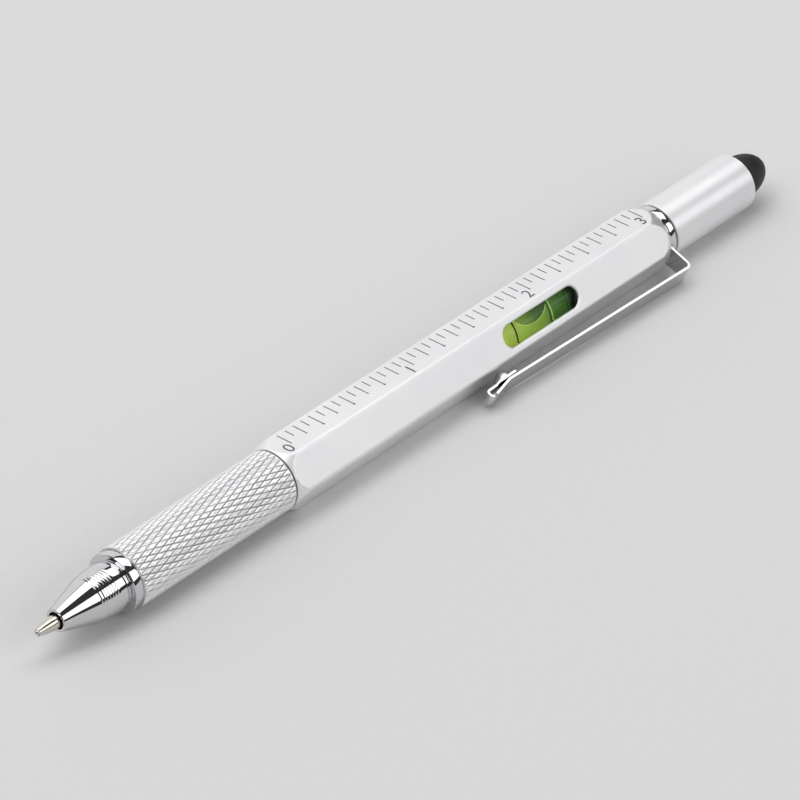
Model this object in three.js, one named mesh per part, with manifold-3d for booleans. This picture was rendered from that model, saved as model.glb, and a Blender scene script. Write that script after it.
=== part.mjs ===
// A twist-action pocket pen that is also a ruler, a spirit level, a screwdriver and a touch-screen stylus.
// Millimetres. X runs along the pen towards the stylus end, Z is up, and the pen lies on one flat of
// its hexagonal barrel. The origin is the middle of that flat.
import * as THREE from "three";
import { mergeVertices } from "three/addons/utils/BufferGeometryUtils.js";
import Module from "manifold-3d";

const wasm = await Module();
wasm.setup();

// Clearances between pieces
const runningGap = 0.3; // round pieces that sit in or turn in one another
const jointGap = 0.2; // the fine line round a screwed joint
const cutOverrun = 1; // how far a cutting body reaches past what it cuts

// Refill
const refillLength = 67;
const refillRadius = 1.15;
const refillBoreRadius = 0.85;
const pointExposure = 3.8; // how far the point stands out of the nose
const pointTipRadius = 0.5;
const pointBaseRadius = 1;
const pointConeLength = 2.5;
const pointCrown = 0.05; // how far its cone swells over a straight line
const pointCollarLength = 2.3;
const pointStemLength = 5;
const inkChannelRadius = 0.22;
const ballRadius = 0.45;
const ballClearance = 0.05;
const ballStandout = 0.3;
const inkHeadroom = 8.6; // empty tube behind the ink
const followerLength = 2;

// Twist mechanism
const retraction = 5.6;
const twistHalfTurns = 1; // half turns of the grip from point out to point in
const pinRadius = 0.45;
const pinClearance = 0.25;
const carrierWall = 0.55;
const carrierSocketDepth = 4;
const carrierPinSetback = 2.2;
const carrierTail = 2.2;
const tubeWall = 0.4;
const guideSeatLength = 18;
const guideSeatHeight = 0.3; // how much thicker the tube is where the grip holds it
const guideTail = 1.6;
const camLead = 3;
const camTail = 3;
const bushingLength = 4.2;
const snapRingThickness = 0.6;
const snapRingHeight = 0.6;
const snapRingSlack = 0.05;
const snapRingMouthShare = 0.16; // of its way round
const snapGrooveDepth = 0.2;

// Hexagonal barrel
const barrelWall = 1.05; // at the middle of a flat
const edgeRadius = 0.5;
const frontFaceWidth = 0.9; // the flat ring that is left at each end by the turned shoulders
const frontShoulderLength = 2.5;
const rearFaceWidth = 1.1;
const rearShoulderLength = 3.6;
const shoulderCrown = 0.16; // how far a shoulder swells over a straight line
const rearSeatLength = 16.8; // the narrower bore that grips the bit socket

// Level window and vial
const windowLength = 16.2;
const windowWidth = 3.3;
const windowBevel = 0.3;
const vialLength = 18.6;
const vialWall = 0.8;
const vialPlugLength = 2;
const vialFromCam = 11.3;
const vialToSeat = 3;
const bubbleLength = 7;
const bubbleDepth = 1.3;

// Knurled grip with its collar and washer
const gripLength = 30.1;
const gripWall = 1.35;
const gripLandDepth = 0.25;
const gripLandLength = 0.15;
const knurlPitchAround = 0.86;
const knurlPitchAlong = 2.84;
const knurlDepth = 0.25;
const washerThickness = 0.2;
const washerWidth = 1.25;
const collarWidth = 1.45;
const collarLength = 1.45;
const collarEdge = 0.12;
const neckWidth = 0.45;
const neckLength = 0.3;

// Nose cone
const noseLength = 10.45;
const noseConeLength = 5.65;
const noseTipWall = 0.4;
const noseConeWidth = 0.33; // how far the cone's wide end stands out past the spigot
const noseShoulderWidth = 0.6; // how far the nose's rear end does
const noseCrown = 0.16; // how far the grooved part behind the cone swells over a straight line
const noseEdge = 0.12;
const noseMouthGap = 0.3;
const noseMouthLength = 1;
const noseMouthFlare = 1.6; // along which the mouth widens into the bore
const noseBoreGap = 0.95;
const spigotLength = 6;
const grooveCount = 7;
const groovePitch = 0.48;
const grooveWidth = 0.2;
const grooveDepth = 0.15;

// Pocket clip
const clipAngleDegrees = 22; // below the level of the pen's axis, on the window side
const clipThickness = 0.35;
const clipWasherWidth = 0.9;
const clipRearWidth = 3.2;
const clipFrontWidth = 3;
const clipRearRise = 3.37; // from the barrel's flats to the middle of the strip
const clipFrontRise = 2.51;
const clipBendRadius = 0.8;
const clipReach = 40; // from the tab to where the end starts to flare
const clipFlareLength = 3.7;
const clipFlareRise = 0.8;
const clipFlareRadius = 2;
const tongueWidth = 2;
const tongueReach = 0.6;
const tongueTurnDepth = 1.2;
const tongueTurnRadius = 0.45;
const tongueNeckLength = 2.2; // from the turn to where the strip widens into its pad
const tonguePadWidth = 3;
const tonguePadLength = 6.6;
const tonguePadCorner = 0.5;
const tonguePadDrop = 0.15;
const dimpleRadius = 1.4;
const dimpleFromTurn = 4.5;

// Bit socket, collar, magnet and bit
const socketWall = 0.45;
const socketFloorThickness = 3.1;
const rearCollarWidth = 0.95;
const rearCollarLength = 1.3;
const rearCollarEdge = 0.2;
const bossLength = 4.5;
const bossEdge = 0.3;
const magnetRadius = 1.9;
const magnetThickness = 1.5;
const bitAcrossFlats = 4;
const bitEdgeRadius = 0.15;
const bitLength = 24.8;
const bitHexLength = 13;
const bitShankRadius = 1.45;
const bitShoulderLength = 0.7;
const bitTaperLength = 2.4;
const bitBladeThickness = 0.6;
const bitPointRadius = 0.45;
const bitFluteWidth = 0.75;
const bitFluteRunoutShare = 0.5; // of the flute's width, left as the web at the point

// Stylus cap and tip
const capWall = 1;
const capEndRoom = 5.1; // from the bit's end to the cap's end wall
const capEndWall = 2.2;
const capEdge = 0.12;
const stylusInset = 1.1;
const stylusLength = 6.6;
const stylusSkirtLength = 1.2;
const stylusNeckRadius = 1.6;

// Number of flat faces round turned pieces
const outerSides = 36;
const innerSides = 24;
const smallSides = 16;
const cornerSteps = 4;

// Radii, built up from the refill outwards
const carrierRadius = refillRadius + runningGap + carrierWall;
const guideInnerRadius = carrierRadius + runningGap;
const guideOuterRadius = guideInnerRadius + tubeWall;
const camInnerRadius = guideOuterRadius + runningGap;
const camOuterRadius = camInnerRadius + tubeWall;
const barrelBoreRadius = camOuterRadius + runningGap;
const acrossFlats = 2 * (barrelBoreRadius + barrelWall);
const cornerRadius = acrossFlats / Math.sqrt(3);
const frontFaceRadius = barrelBoreRadius + frontFaceWidth;
const spigotRadius = guideOuterRadius + guideSeatHeight;
const gripBoreRadius = spigotRadius + runningGap;
const gripRadius = gripBoreRadius + gripWall;
const gripLandRadius = gripRadius - gripLandDepth;
const washerRadius = spigotRadius + washerWidth;
const collarRadius = spigotRadius + collarWidth;
const neckRadius = spigotRadius + neckWidth;
const noseRearRadius = spigotRadius + noseShoulderWidth;
const noseConeRearRadius = spigotRadius + noseConeWidth;
const noseMouthRadius = pointBaseRadius + noseMouthGap;
const noseTipRadius = noseMouthRadius + noseTipWall;
const noseBoreRadius = refillRadius + noseBoreGap;
const vialRadius = barrelBoreRadius - runningGap;
const vialBoreRadius = vialRadius - vialWall;
const liquidRadius = vialBoreRadius - runningGap;
const socketAcrossFlats = bitAcrossFlats + 2 * runningGap;
const shankRadius = socketAcrossFlats / Math.sqrt(3) + socketWall;
const rearSeatRadius = shankRadius + runningGap;
const rearFaceRadius = rearSeatRadius + rearFaceWidth;
const clipWasherRadius = rearSeatRadius + clipWasherWidth;
const rearCollarRadius = rearSeatRadius + rearCollarWidth;
const capBoreRadius = shankRadius + runningGap;
const capRadius = capBoreRadius + capWall;
const stylusRadius = capRadius - stylusInset;
const clipRearHeight = acrossFlats / 2 + clipRearRise;
const clipFrontHeight = acrossFlats / 2 + clipFrontRise;

// The barrel's length follows from what it holds
const frontLength = washerThickness + gripLength + collarLength + neckLength + noseLength;
const refillInBarrel = refillLength - frontLength - pointExposure;
const pinFromFront = refillInBarrel + runningGap + carrierPinSetback;
const vialFromFront = pinFromFront + retraction + camTail + vialFromCam;
const barrelLength = vialFromFront + vialLength + vialToSeat + rearSeatLength;

// Stations along the pen
const barrelFrontX = -barrelLength / 2;
const barrelRearX = barrelLength / 2;
const gripRearX = barrelFrontX - washerThickness;
const gripFrontX = gripRearX - gripLength;
const collarFrontX = gripFrontX - collarLength;
const noseRearX = collarFrontX - neckLength;
const noseFrontX = noseRearX - noseLength;
const ballX = noseFrontX - pointExposure + ballRadius;
const pointFrontX = noseFrontX - pointExposure + ballStandout;
const pointShoulderX = pointFrontX + pointConeLength + pointCollarLength;
const refillRearX = barrelFrontX + refillInBarrel;
const carrierFloorX = refillRearX + runningGap;
const pinX = barrelFrontX + pinFromFront;
const vialFrontX = barrelFrontX + vialFromFront;
const vialRearX = vialFrontX + vialLength;
const windowX = (vialFrontX + vialRearX) / 2;
const seatStartX = barrelRearX - rearSeatLength;
const socketFrontX = seatStartX + runningGap;
const socketFloorX = socketFrontX + socketFloorThickness;
const bitInnerX = socketFloorX + magnetThickness;
const bitOuterX = bitInnerX + bitLength;
const washerRearX = barrelRearX + clipThickness;
const rearCollarEndX = washerRearX + rearCollarLength;
const bossEndX = rearCollarEndX + bossLength;
const capFrontX = rearCollarEndX + jointGap;
const capBoreEndX = bitOuterX + capEndRoom;
const capEndX = capBoreEndX + capEndWall;

const finishes = {
  satinSilver: { color: 0xd9dadb, roughness: 0.38, metalness: 0.9 },
  chrome: { color: 0xe6e7e8, roughness: 0.08, metalness: 1 },
  brass: { color: 0xc9a65a, roughness: 0.3, metalness: 1 },
  nickel: { color: 0xd8cfae, roughness: 0.2, metalness: 1 },
  steel: { color: 0xa9abae, roughness: 0.3, metalness: 1 },
  blackPlastic: { color: 0x17181a, roughness: 0.6, metalness: 0 },
  whitePlastic: { color: 0xe9e9e4, roughness: 0.5, metalness: 0 },
  blackRubber: { color: 0x1c1d1f, roughness: 0.75, metalness: 0 },
  clearPlastic: { color: 0xe8f4d8, roughness: 0.05, metalness: 0 },
  levelLiquid: { color: 0x7fbf2a, roughness: 0.1, metalness: 0 },
  blueInk: { color: 0x1b2f8a, roughness: 0.3, metalness: 0 },
};

const pen = new THREE.Group();
const axis = new THREE.Group(); // everything is laid out round the pen's own axis
axis.position.z = acrossFlats / 2;
pen.add(axis);

function place(name, shape, finish, parent = axis) {
  const geometry = shape.isBufferGeometry ? shape : geometryOf(shape);
  const mesh = new THREE.Mesh(geometry, new THREE.MeshStandardMaterial(finishes[finish]));
  mesh.name = name;
  parent.add(mesh);
  return mesh;
}

function solidOf(geometry) {
  const bare = geometry.clone();
  bare.deleteAttribute("normal");
  bare.deleteAttribute("uv");
  const merged = mergeVertices(bare);
  return new wasm.Manifold(
    new wasm.Mesh({
      numProp: 3,
      vertProperties: merged.attributes.position.array,
      triVerts: new Uint32Array(merged.index.array),
    }),
  );
}

function geometryOf(solid) {
  const mesh = solid.getMesh();
  const geometry = new THREE.BufferGeometry();
  geometry.setAttribute("position", new THREE.BufferAttribute(mesh.vertProperties, mesh.numProp));
  geometry.setIndex(new THREE.BufferAttribute(mesh.triVerts, 1));
  geometry.computeVertexNormals();
  return geometry;
}

// Revolves [x, radius] points round the pen's axis. A profile that doesn't end on the axis is closed.
function turned(profile, sides = outerSides) {
  const points = profile.map(([x, radius]) => new THREE.Vector2(radius, x));
  const last = points[points.length - 1];
  if (points[0].x > 0 || last.x > 0) points.push(points[0].clone());
  if (THREE.ShapeUtils.area(points) < 0) points.reverse();
  return new THREE.LatheGeometry(points, sides).rotateZ(-Math.PI / 2);
}

function tube(fromX, toX, innerRadius, outerRadius, sides = innerSides) {
  const profile = [
    [fromX, innerRadius],
    [toX, innerRadius],
    [toX, outerRadius],
    [fromX, outerRadius],
  ];
  return turned(profile, sides);
}

function rod(fromX, toX, radius, sides = innerSides) {
  const profile = [
    [fromX, 0],
    [fromX, radius],
    [toX, radius],
    [toX, 0],
  ];
  return turned(profile, sides);
}

// Joins rings of as many points each into one closed skin, with a fan over each end.
function lofted(rings) {
  const count = rings[0].length;
  const points = rings.flat();
  const ends = [rings[0], rings[rings.length - 1]];
  for (const ring of ends) {
    const middle = new THREE.Vector3();
    for (const point of ring) middle.add(point);
    points.push(middle.divideScalar(count));
  }
  const faces = [];
  for (let i = 0; i < count; i++) {
    const next = (i + 1) % count;
    for (let row = 0; row < rings.length - 1; row++) {
      const low = row * count;
      const high = low + count;
      faces.push(low + i, low + next, high + i, high + i, low + next, high + next);
    }
    const top = (rings.length - 1) * count;
    faces.push(points.length - 2, next, i, points.length - 1, top + i, top + next);
  }
  return skinOf(points, faces);
}

function skinOf(points, faces) {
  const geometry = new THREE.BufferGeometry().setFromPoints(points);
  geometry.setIndex(faces);
  return geometry;
}

// An outline drawn in the plane square to the pen, with its y along +Y and its z along +Z.
function alongPen(shape, fromX, length) {
  const toPen = new THREE.Matrix4().makeBasis(
    new THREE.Vector3(0, 1, 0),
    new THREE.Vector3(0, 0, 1),
    new THREE.Vector3(1, 0, 0),
  );
  const settings = { depth: length, bevelEnabled: false, curveSegments: cornerSteps };
  const geometry = new THREE.ExtrudeGeometry(shape, settings);
  return geometry.applyMatrix4(toPen).translate(fromX, 0, 0);
}

// An outline drawn in a plane that holds the pen's axis, with x along the pen and y as height,
// made as thick as width and centred on y = 0.
function acrossPen(shape, width) {
  const geometry = new THREE.ExtrudeGeometry(shape, { depth: width, bevelEnabled: false });
  return geometry.rotateX(Math.PI / 2).translate(0, width / 2, 0);
}

// A regular hexagon with flats at top and bottom and rounded corners.
function hexagon(flats, rounding) {
  const shape = new THREE.Shape();
  const reach = (flats / 2 - rounding) / Math.cos(Math.PI / 6);
  for (let corner = 0; corner < 6; corner++) {
    const middle = (corner * Math.PI) / 3;
    const x = reach * Math.cos(middle);
    const y = reach * Math.sin(middle);
    shape.absarc(x, y, rounding, middle - Math.PI / 6, middle + Math.PI / 6, false);
  }
  shape.closePath();
  return shape;
}

// Points along a line through corners, each rounded to its own radius.
function roundedPath(corners, arcSteps = 5) {
  const path = [new THREE.Vector2(corners[0].x, corners[0].y)];
  for (let i = 1; i < corners.length - 1; i++) {
    const here = new THREE.Vector2(corners[i].x, corners[i].y);
    const back = new THREE.Vector2(corners[i - 1].x, corners[i - 1].y).sub(here).normalize();
    const ahead = new THREE.Vector2(corners[i + 1].x, corners[i + 1].y).sub(here).normalize();
    const half = Math.acos(THREE.MathUtils.clamp(back.dot(ahead), -1, 1)) / 2;
    const setback = corners[i].radius / Math.tan(half);
    const centreWay = back.clone().add(ahead).normalize();
    const centre = here.clone().addScaledVector(centreWay, corners[i].radius / Math.sin(half));
    const start = here.clone().addScaledVector(back, setback).sub(centre);
    const sweep = (Math.PI - 2 * half) * Math.sign(ahead.cross(back));
    for (let step = 0; step <= arcSteps; step++) {
      const turn = (sweep * step) / arcSteps;
      path.push(start.clone().rotateAround(new THREE.Vector2(), turn).add(centre));
    }
  }
  const last = corners[corners.length - 1];
  path.push(new THREE.Vector2(last.x, last.y));
  return path;
}

// The edge view of a sheet strip bent along a path.
function stripShape(path, thickness) {
  const left = [];
  const right = [];
  path.forEach((point, i) => {
    const before = path[Math.max(i - 1, 0)];
    const after = path[Math.min(i + 1, path.length - 1)];
    const way = after.clone().sub(before).normalize();
    const side = new THREE.Vector2(-way.y, way.x).multiplyScalar(thickness / 2);
    left.push(point.clone().add(side));
    right.unshift(point.clone().sub(side));
  });
  return new THREE.Shape([...left, ...right]);
}

// Points from one [x, radius] to another along a line that swells a little in the middle.
function crowned(fromX, fromRadius, toX, toRadius, crown = shoulderCrown) {
  const stepShares = [0, 0.25, 0.5, 0.75, 1];
  return stepShares.map((share) => [
    THREE.MathUtils.lerp(fromX, toX, share),
    THREE.MathUtils.lerp(fromRadius, toRadius, share) + crown * Math.sin(Math.PI * share),
  ]);
}

function hexBarrel() {
  const blank = solidOf(alongPen(hexagon(acrossFlats, edgeRadius), barrelFrontX, barrelLength));
  const envelope = solidOf(
    turned([
      [barrelFrontX, 0],
      ...crowned(barrelFrontX, frontFaceRadius, barrelFrontX + frontShoulderLength, cornerRadius),
      ...crowned(barrelRearX - rearShoulderLength, cornerRadius, barrelRearX, rearFaceRadius),
      [barrelRearX, 0],
    ]),
  );
  const bore = solidOf(rod(barrelFrontX - cutOverrun, seatStartX, barrelBoreRadius));
  const seat = solidOf(rod(seatStartX - cutOverrun, barrelRearX + cutOverrun, rearSeatRadius));
  return blank.intersect(envelope).subtract(bore).subtract(seat).subtract(windowCutter());
}

// The face with the window is one sixth of a turn from the top one.
const windowTurn = Math.PI / 3;

function windowCutter() {
  const ring = (height, growth) => {
    const points = [];
    const radius = windowWidth / 2 + growth;
    const straight = windowLength / 2 - windowWidth / 2;
    const shape = new THREE.Shape();
    shape.absarc(windowX + straight, 0, radius, -Math.PI / 2, Math.PI / 2, false);
    shape.absarc(windowX - straight, 0, radius, Math.PI / 2, (3 * Math.PI) / 2, false);
    for (const point of shape.getPoints(8)) points.push(new THREE.Vector3(point.x, point.y, height));
    return points;
  };
  const face = acrossFlats / 2;
  const rings = [
    ring(0, 0),
    ring(face - windowBevel, 0),
    ring(face, windowBevel),
    ring(face + cutOverrun, windowBevel),
  ];
  return solidOf(lofted(rings).rotateX(windowTurn));
}

function knurledGrip() {
  const around = 2 * Math.round((2 * Math.PI * gripRadius) / knurlPitchAround);
  const knurlLength = gripLength - 2 * gripLandLength;
  const rows = Math.round((2 * knurlLength) / knurlPitchAlong);
  const ringAt = (x, radiusAt) => {
    const ring = [];
    for (let i = 0; i < around; i++) {
      const angle = (i * 2 * Math.PI) / around;
      const radius = radiusAt(i);
      ring.push(new THREE.Vector3(x, radius * Math.cos(angle), radius * Math.sin(angle)));
    }
    return ring;
  };
  const knurlStartX = gripFrontX + gripLandLength;
  const land = () => gripLandRadius;
  const rings = [ringAt(gripFrontX, land)];
  for (let row = 0; row <= rows; row++) {
    const x = knurlStartX + (knurlLength * row) / rows;
    const isEnd = row === 0 || row === rows;
    rings.push(ringAt(x, (i) => (isEnd ? gripLandRadius : gripRadius - ((i + row) % 2) * knurlDepth)));
  }
  rings.push(ringAt(gripRearX, land));
  const points = rings.flat();
  const frontMiddle = points.push(new THREE.Vector3(gripFrontX, 0, 0)) - 1;
  const rearMiddle = points.push(new THREE.Vector3(gripRearX, 0, 0)) - 1;
  const faces = [];
  for (let i = 0; i < around; i++) {
    const next = (i + 1) % around;
    for (let row = 0; row < rings.length - 1; row++) {
      const [a, b] = [row * around + i, row * around + next];
      const [c, d] = [a + around, b + around];
      // The fold between two pyramids always joins two low points.
      if ((i + row) % 2) faces.push(a, b, d, a, d, c);
      else faces.push(a, b, c, b, d, c);
    }
    const top = (rings.length - 1) * around;
    faces.push(frontMiddle, next, i, rearMiddle, top + i, top + next);
  }
  const bar = solidOf(skinOf(points, faces));
  return bar.subtract(solidOf(rod(gripFrontX - cutOverrun, gripRearX + cutOverrun, gripBoreRadius)));
}

function noseCone() {
  const coneRearX = noseFrontX + noseConeLength;
  const swellAt = (x) => {
    const share = (x - coneRearX) / (noseRearX - coneRearX);
    const straight = THREE.MathUtils.lerp(noseConeRearRadius, noseRearRadius, share);
    return straight + noseCrown * Math.sin(Math.PI * share);
  };
  const profile = [
    [noseFrontX, noseMouthRadius],
    [noseFrontX, noseTipRadius],
  ];
  for (let i = 0; i < grooveCount; i++) {
    const startX = coneRearX + i * groovePitch;
    const floorX = startX + grooveWidth / 2;
    profile.push([startX, swellAt(startX)]);
    profile.push([floorX, swellAt(floorX) - grooveDepth]);
    profile.push([startX + grooveWidth, swellAt(startX + grooveWidth)]);
  }
  const edgeX = noseRearX - noseEdge;
  const shoulderX = (coneRearX + grooveCount * groovePitch + edgeX) / 2;
  profile.push([shoulderX, swellAt(shoulderX)]);
  profile.push([edgeX, swellAt(edgeX)]);
  profile.push([noseRearX, noseRearRadius - noseEdge]);
  profile.push([noseRearX, spigotRadius]);
  profile.push([noseRearX + spigotLength, spigotRadius]);
  profile.push([noseRearX + spigotLength, noseBoreRadius]);
  profile.push([noseFrontX + noseMouthLength + noseMouthFlare, noseBoreRadius]);
  profile.push([noseFrontX + noseMouthLength, noseMouthRadius]);
  return turned(profile);
}

function frontCollar() {
  const inner = gripBoreRadius;
  const profile = [
    [noseRearX, inner],
    [noseRearX, neckRadius],
    [collarFrontX, neckRadius],
    [collarFrontX, collarRadius - collarEdge],
    [collarFrontX + collarEdge, collarRadius],
    [gripFrontX - collarEdge, collarRadius],
    [gripFrontX, collarRadius - collarEdge],
    [gripFrontX, inner],
  ];
  return turned(profile);
}

function refillPoint() {
  const coneRearX = pointFrontX + pointConeLength;
  const stemRadius = refillBoreRadius - runningGap;
  const stemRearX = pointShoulderX + pointStemLength;
  const profile = [
    [pointFrontX, 0],
    ...crowned(pointFrontX, pointTipRadius, coneRearX, pointBaseRadius, pointCrown),
    [pointShoulderX, pointBaseRadius],
    [pointShoulderX, stemRadius],
    [stemRearX, stemRadius],
    [stemRearX, 0],
  ];
  const body = solidOf(turned(profile, smallSides));
  const channel = solidOf(rod(pointFrontX, stemRearX + cutOverrun, inkChannelRadius, smallSides));
  const cup = new THREE.SphereGeometry(ballRadius + ballClearance, smallSides, smallSides / 2);
  return body.subtract(channel).subtract(solidOf(cup.translate(ballX, 0, 0)));
}

function refillCarrier() {
  const rearX = pinX + carrierTail;
  const frontX = carrierFloorX - carrierSocketDepth;
  const profile = [
    [carrierFloorX, 0],
    [carrierFloorX, refillRadius + runningGap],
    [frontX, refillRadius + runningGap],
    [frontX, carrierRadius],
    [rearX, carrierRadius],
    [rearX, 0],
  ];
  const hole = radialRod(pinX, 0, carrierRadius + cutOverrun, pinRadius + runningGap);
  return solidOf(turned(profile)).subtract(solidOf(hole));
}

// A round bar that stands up from the pen's axis.
function radialRod(x, fromHeight, toHeight, radius) {
  const length = toHeight - fromHeight;
  const bar = new THREE.CylinderGeometry(radius, radius, length, smallSides);
  return bar.rotateX(Math.PI / 2).translate(x, 0, fromHeight + length / 2);
}

function guideTube() {
  const frontX = gripRearX - guideSeatLength;
  const rearX = pinX + retraction + pinRadius + pinClearance + guideTail;
  const grooveX = barrelFrontX + bushingLength + runningGap;
  const grooveEndX = grooveX + snapRingThickness + 2 * snapRingSlack;
  const profile = [
    [frontX, guideInnerRadius],
    [frontX, spigotRadius],
    [gripRearX - washerThickness, spigotRadius],
    [gripRearX - washerThickness, guideOuterRadius],
    [grooveX, guideOuterRadius],
    [grooveX, guideOuterRadius - snapGrooveDepth],
    [grooveEndX, guideOuterRadius - snapGrooveDepth],
    [grooveEndX, guideOuterRadius],
    [rearX, guideOuterRadius],
    [rearX, guideInnerRadius],
  ];
  const half = pinRadius + pinClearance;
  const slot = new THREE.BoxGeometry(retraction + 2 * half, 2 * half, guideOuterRadius + cutOverrun);
  slot.translate(pinX + retraction / 2, 0, (guideOuterRadius + cutOverrun) / 2);
  return solidOf(turned(profile, innerSides)).subtract(solidOf(slot));
}

// A steel ring, open on one side, that snaps into the groove behind the bushing.
function retainingRing() {
  const frontX = barrelFrontX + bushingLength + runningGap + snapRingSlack;
  const inner = guideOuterRadius - snapGrooveDepth + snapRingSlack;
  const outer = inner + snapRingHeight;
  const ring = solidOf(tube(frontX, frontX + snapRingThickness, inner, outer));
  const reach = outer + cutOverrun;
  const mouthWidth = 2 * Math.PI * inner * snapRingMouthShare;
  const mouth = new THREE.BoxGeometry(snapRingThickness + 2 * cutOverrun, mouthWidth, reach);
  mouth.translate(frontX + snapRingThickness / 2, 0, -reach / 2);
  return ring.subtract(solidOf(mouth));
}

// The barrel's own sleeve: its slanting slot drives the pin back as the grip is turned.
function camTube() {
  const frontX = pinX - camLead;
  const rearX = pinX + retraction + camTail;
  const wall = solidOf(tube(frontX, rearX, camInnerRadius, camOuterRadius));
  const twist = twistHalfTurns * Math.PI;
  const lean = Math.atan(retraction / (twist * camOuterRadius));
  const half = pinRadius + pinClearance;
  const halfAlong = half / Math.cos(lean);
  const endTurn = half / camInnerRadius;
  const steps = 16;
  const rings = [];
  for (let step = 0; step <= steps; step++) {
    const angle = THREE.MathUtils.lerp(-endTurn, twist + endTurn, step / steps);
    const x = pinX + (retraction * angle) / twist;
    const ring = [];
    for (const [dx, radius] of [
      [-halfAlong, camInnerRadius - runningGap],
      [halfAlong, camInnerRadius - runningGap],
      [halfAlong, camOuterRadius + cutOverrun],
      [-halfAlong, camOuterRadius + cutOverrun],
    ]) {
      const up = Math.PI / 2 + angle;
      ring.push(new THREE.Vector3(x + dx, radius * Math.cos(up), radius * Math.sin(up)));
    }
    rings.push(ring);
  }
  return wall.subtract(outward(lofted(rings)));
}

// A closed skin as a solid, whichever way round its rings run.
function outward(geometry) {
  const solid = solidOf(geometry);
  if (solid.volume() > 0) return solid;
  const flipped = geometry.clone();
  flipped.setIndex(Array.from(geometry.index.array).reverse());
  return solidOf(flipped);
}

function levelVial() {
  const floorX = vialFrontX + vialWall;
  const profile = [
    [vialFrontX, 0],
    [vialFrontX, vialRadius],
    [vialRearX, vialRadius],
    [vialRearX, vialBoreRadius],
    [floorX, vialBoreRadius],
    [floorX, 0],
  ];
  return turned(profile);
}

function vialLiquid() {
  const frontX = vialFrontX + vialWall + runningGap;
  const rearX = vialRearX - vialPlugLength - runningGap;
  const fill = solidOf(rod(frontX, rearX, liquidRadius));
  const bubble = new THREE.SphereGeometry(1, smallSides, smallSides / 2);
  bubble.scale(bubbleLength / 2, bubbleDepth, bubbleDepth);
  bubble.translate(windowX, 0, liquidRadius);
  return fill.subtract(solidOf(bubble));
}

// The clip stands on the window side, a little below the level of the axis.
const clipTurn = Math.PI / 2 + THREE.MathUtils.degToRad(clipAngleDegrees);
const clipSplitHeight = clipRearHeight - clipBendRadius - clipThickness;

function clipRing() {
  const blank = solidOf(tube(barrelRearX, washerRearX, rearSeatRadius, clipWasherRadius, outerSides));
  const foot = (rearSeatRadius + clipWasherRadius) / 2;
  const tab = new THREE.BoxGeometry(clipThickness, clipRearWidth, clipSplitHeight - foot);
  tab.translate(barrelRearX + clipThickness / 2, 0, (clipSplitHeight + foot) / 2);
  return blank.add(solidOf(tab.rotateX(clipTurn)));
}

// The plan of a sheet strip, given as [x, width] from one end to the other, made tall enough to cut with.
function tallPlan(widths) {
  const near = widths.map(([x, width]) => new THREE.Vector2(x, -width / 2));
  const far = widths.map(([x, width]) => new THREE.Vector2(x, width / 2));
  const plan = new THREE.Shape([...near, ...far.reverse()]);
  return solidOf(new THREE.ExtrudeGeometry(plan, { depth: 2 * clipRearHeight, bevelEnabled: false }));
}

function clipArm() {
  const stripX = barrelRearX + clipThickness / 2;
  const flareX = stripX - clipReach;
  const flareEndX = flareX - clipFlareLength;
  const flareTop = clipFrontHeight + clipFlareRise;
  const arm = roundedPath([
    { x: stripX, y: clipSplitHeight + runningGap },
    { x: stripX, y: clipRearHeight, radius: clipBendRadius },
    { x: flareX, y: clipFrontHeight, radius: clipFlareRadius },
    { x: flareEndX, y: flareTop },
  ]);
  const turnX = flareEndX - tongueReach;
  const padHeight = flareTop - tongueTurnDepth;
  const padEndX = turnX + tonguePadLength;
  const tongue = roundedPath([
    { x: flareEndX + tongueReach, y: flareTop - clipThickness / 2 },
    { x: turnX, y: flareTop, radius: tongueTurnRadius },
    { x: turnX, y: padHeight, radius: tongueTurnRadius },
    { x: padEndX, y: padHeight - tonguePadDrop },
  ]);
  const stripPlan = tallPlan([
    [flareEndX - cutOverrun, clipFrontWidth],
    [flareX, clipFrontWidth],
    [stripX + cutOverrun, clipRearWidth],
  ]);
  const neckEndX = turnX + tongueNeckLength;
  const tonguePlan = tallPlan([
    [turnX - cutOverrun, tongueWidth],
    [neckEndX, tongueWidth],
    [neckEndX + tonguePadCorner, tonguePadWidth],
    [padEndX - tonguePadCorner, tonguePadWidth],
    [padEndX, tonguePadWidth - 2 * tonguePadCorner],
    [padEndX + cutOverrun, tonguePadWidth - 2 * tonguePadCorner],
  ]);
  const widest = Math.max(clipRearWidth, tonguePadWidth);
  const strip = solidOf(acrossPen(stripShape(arm, clipThickness), widest)).intersect(stripPlan);
  const hook = solidOf(acrossPen(stripShape(tongue, clipThickness), widest)).intersect(tonguePlan);
  const turn = (solid) => solid.rotate([THREE.MathUtils.radToDeg(clipTurn), 0, 0]);
  const dimpleHeight = padHeight - tonguePadDrop * (dimpleFromTurn / tonguePadLength);
  return turn(strip.add(hook).add(clipDimple(turnX + dimpleFromTurn, dimpleHeight)));
}

// The dome that bears on the barrel, pressed out of a strip whose middle is at the given height.
function clipDimple(x, height) {
  const depth = height - clipThickness / 2 - (acrossFlats / 2 + runningGap);
  const points = [];
  const steps = 6;
  for (let step = 0; step <= steps; step++) {
    const angle = (step * Math.PI) / 2 / steps;
    points.push(new THREE.Vector2(dimpleRadius * Math.sin(angle), -depth * Math.cos(angle)));
  }
  points.push(new THREE.Vector2(dimpleRadius, clipThickness / 2), new THREE.Vector2(0, clipThickness / 2));
  const dome = new THREE.LatheGeometry(points, smallSides).rotateX(Math.PI / 2);
  return solidOf(dome.translate(x, 0, height - clipThickness / 2));
}

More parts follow.
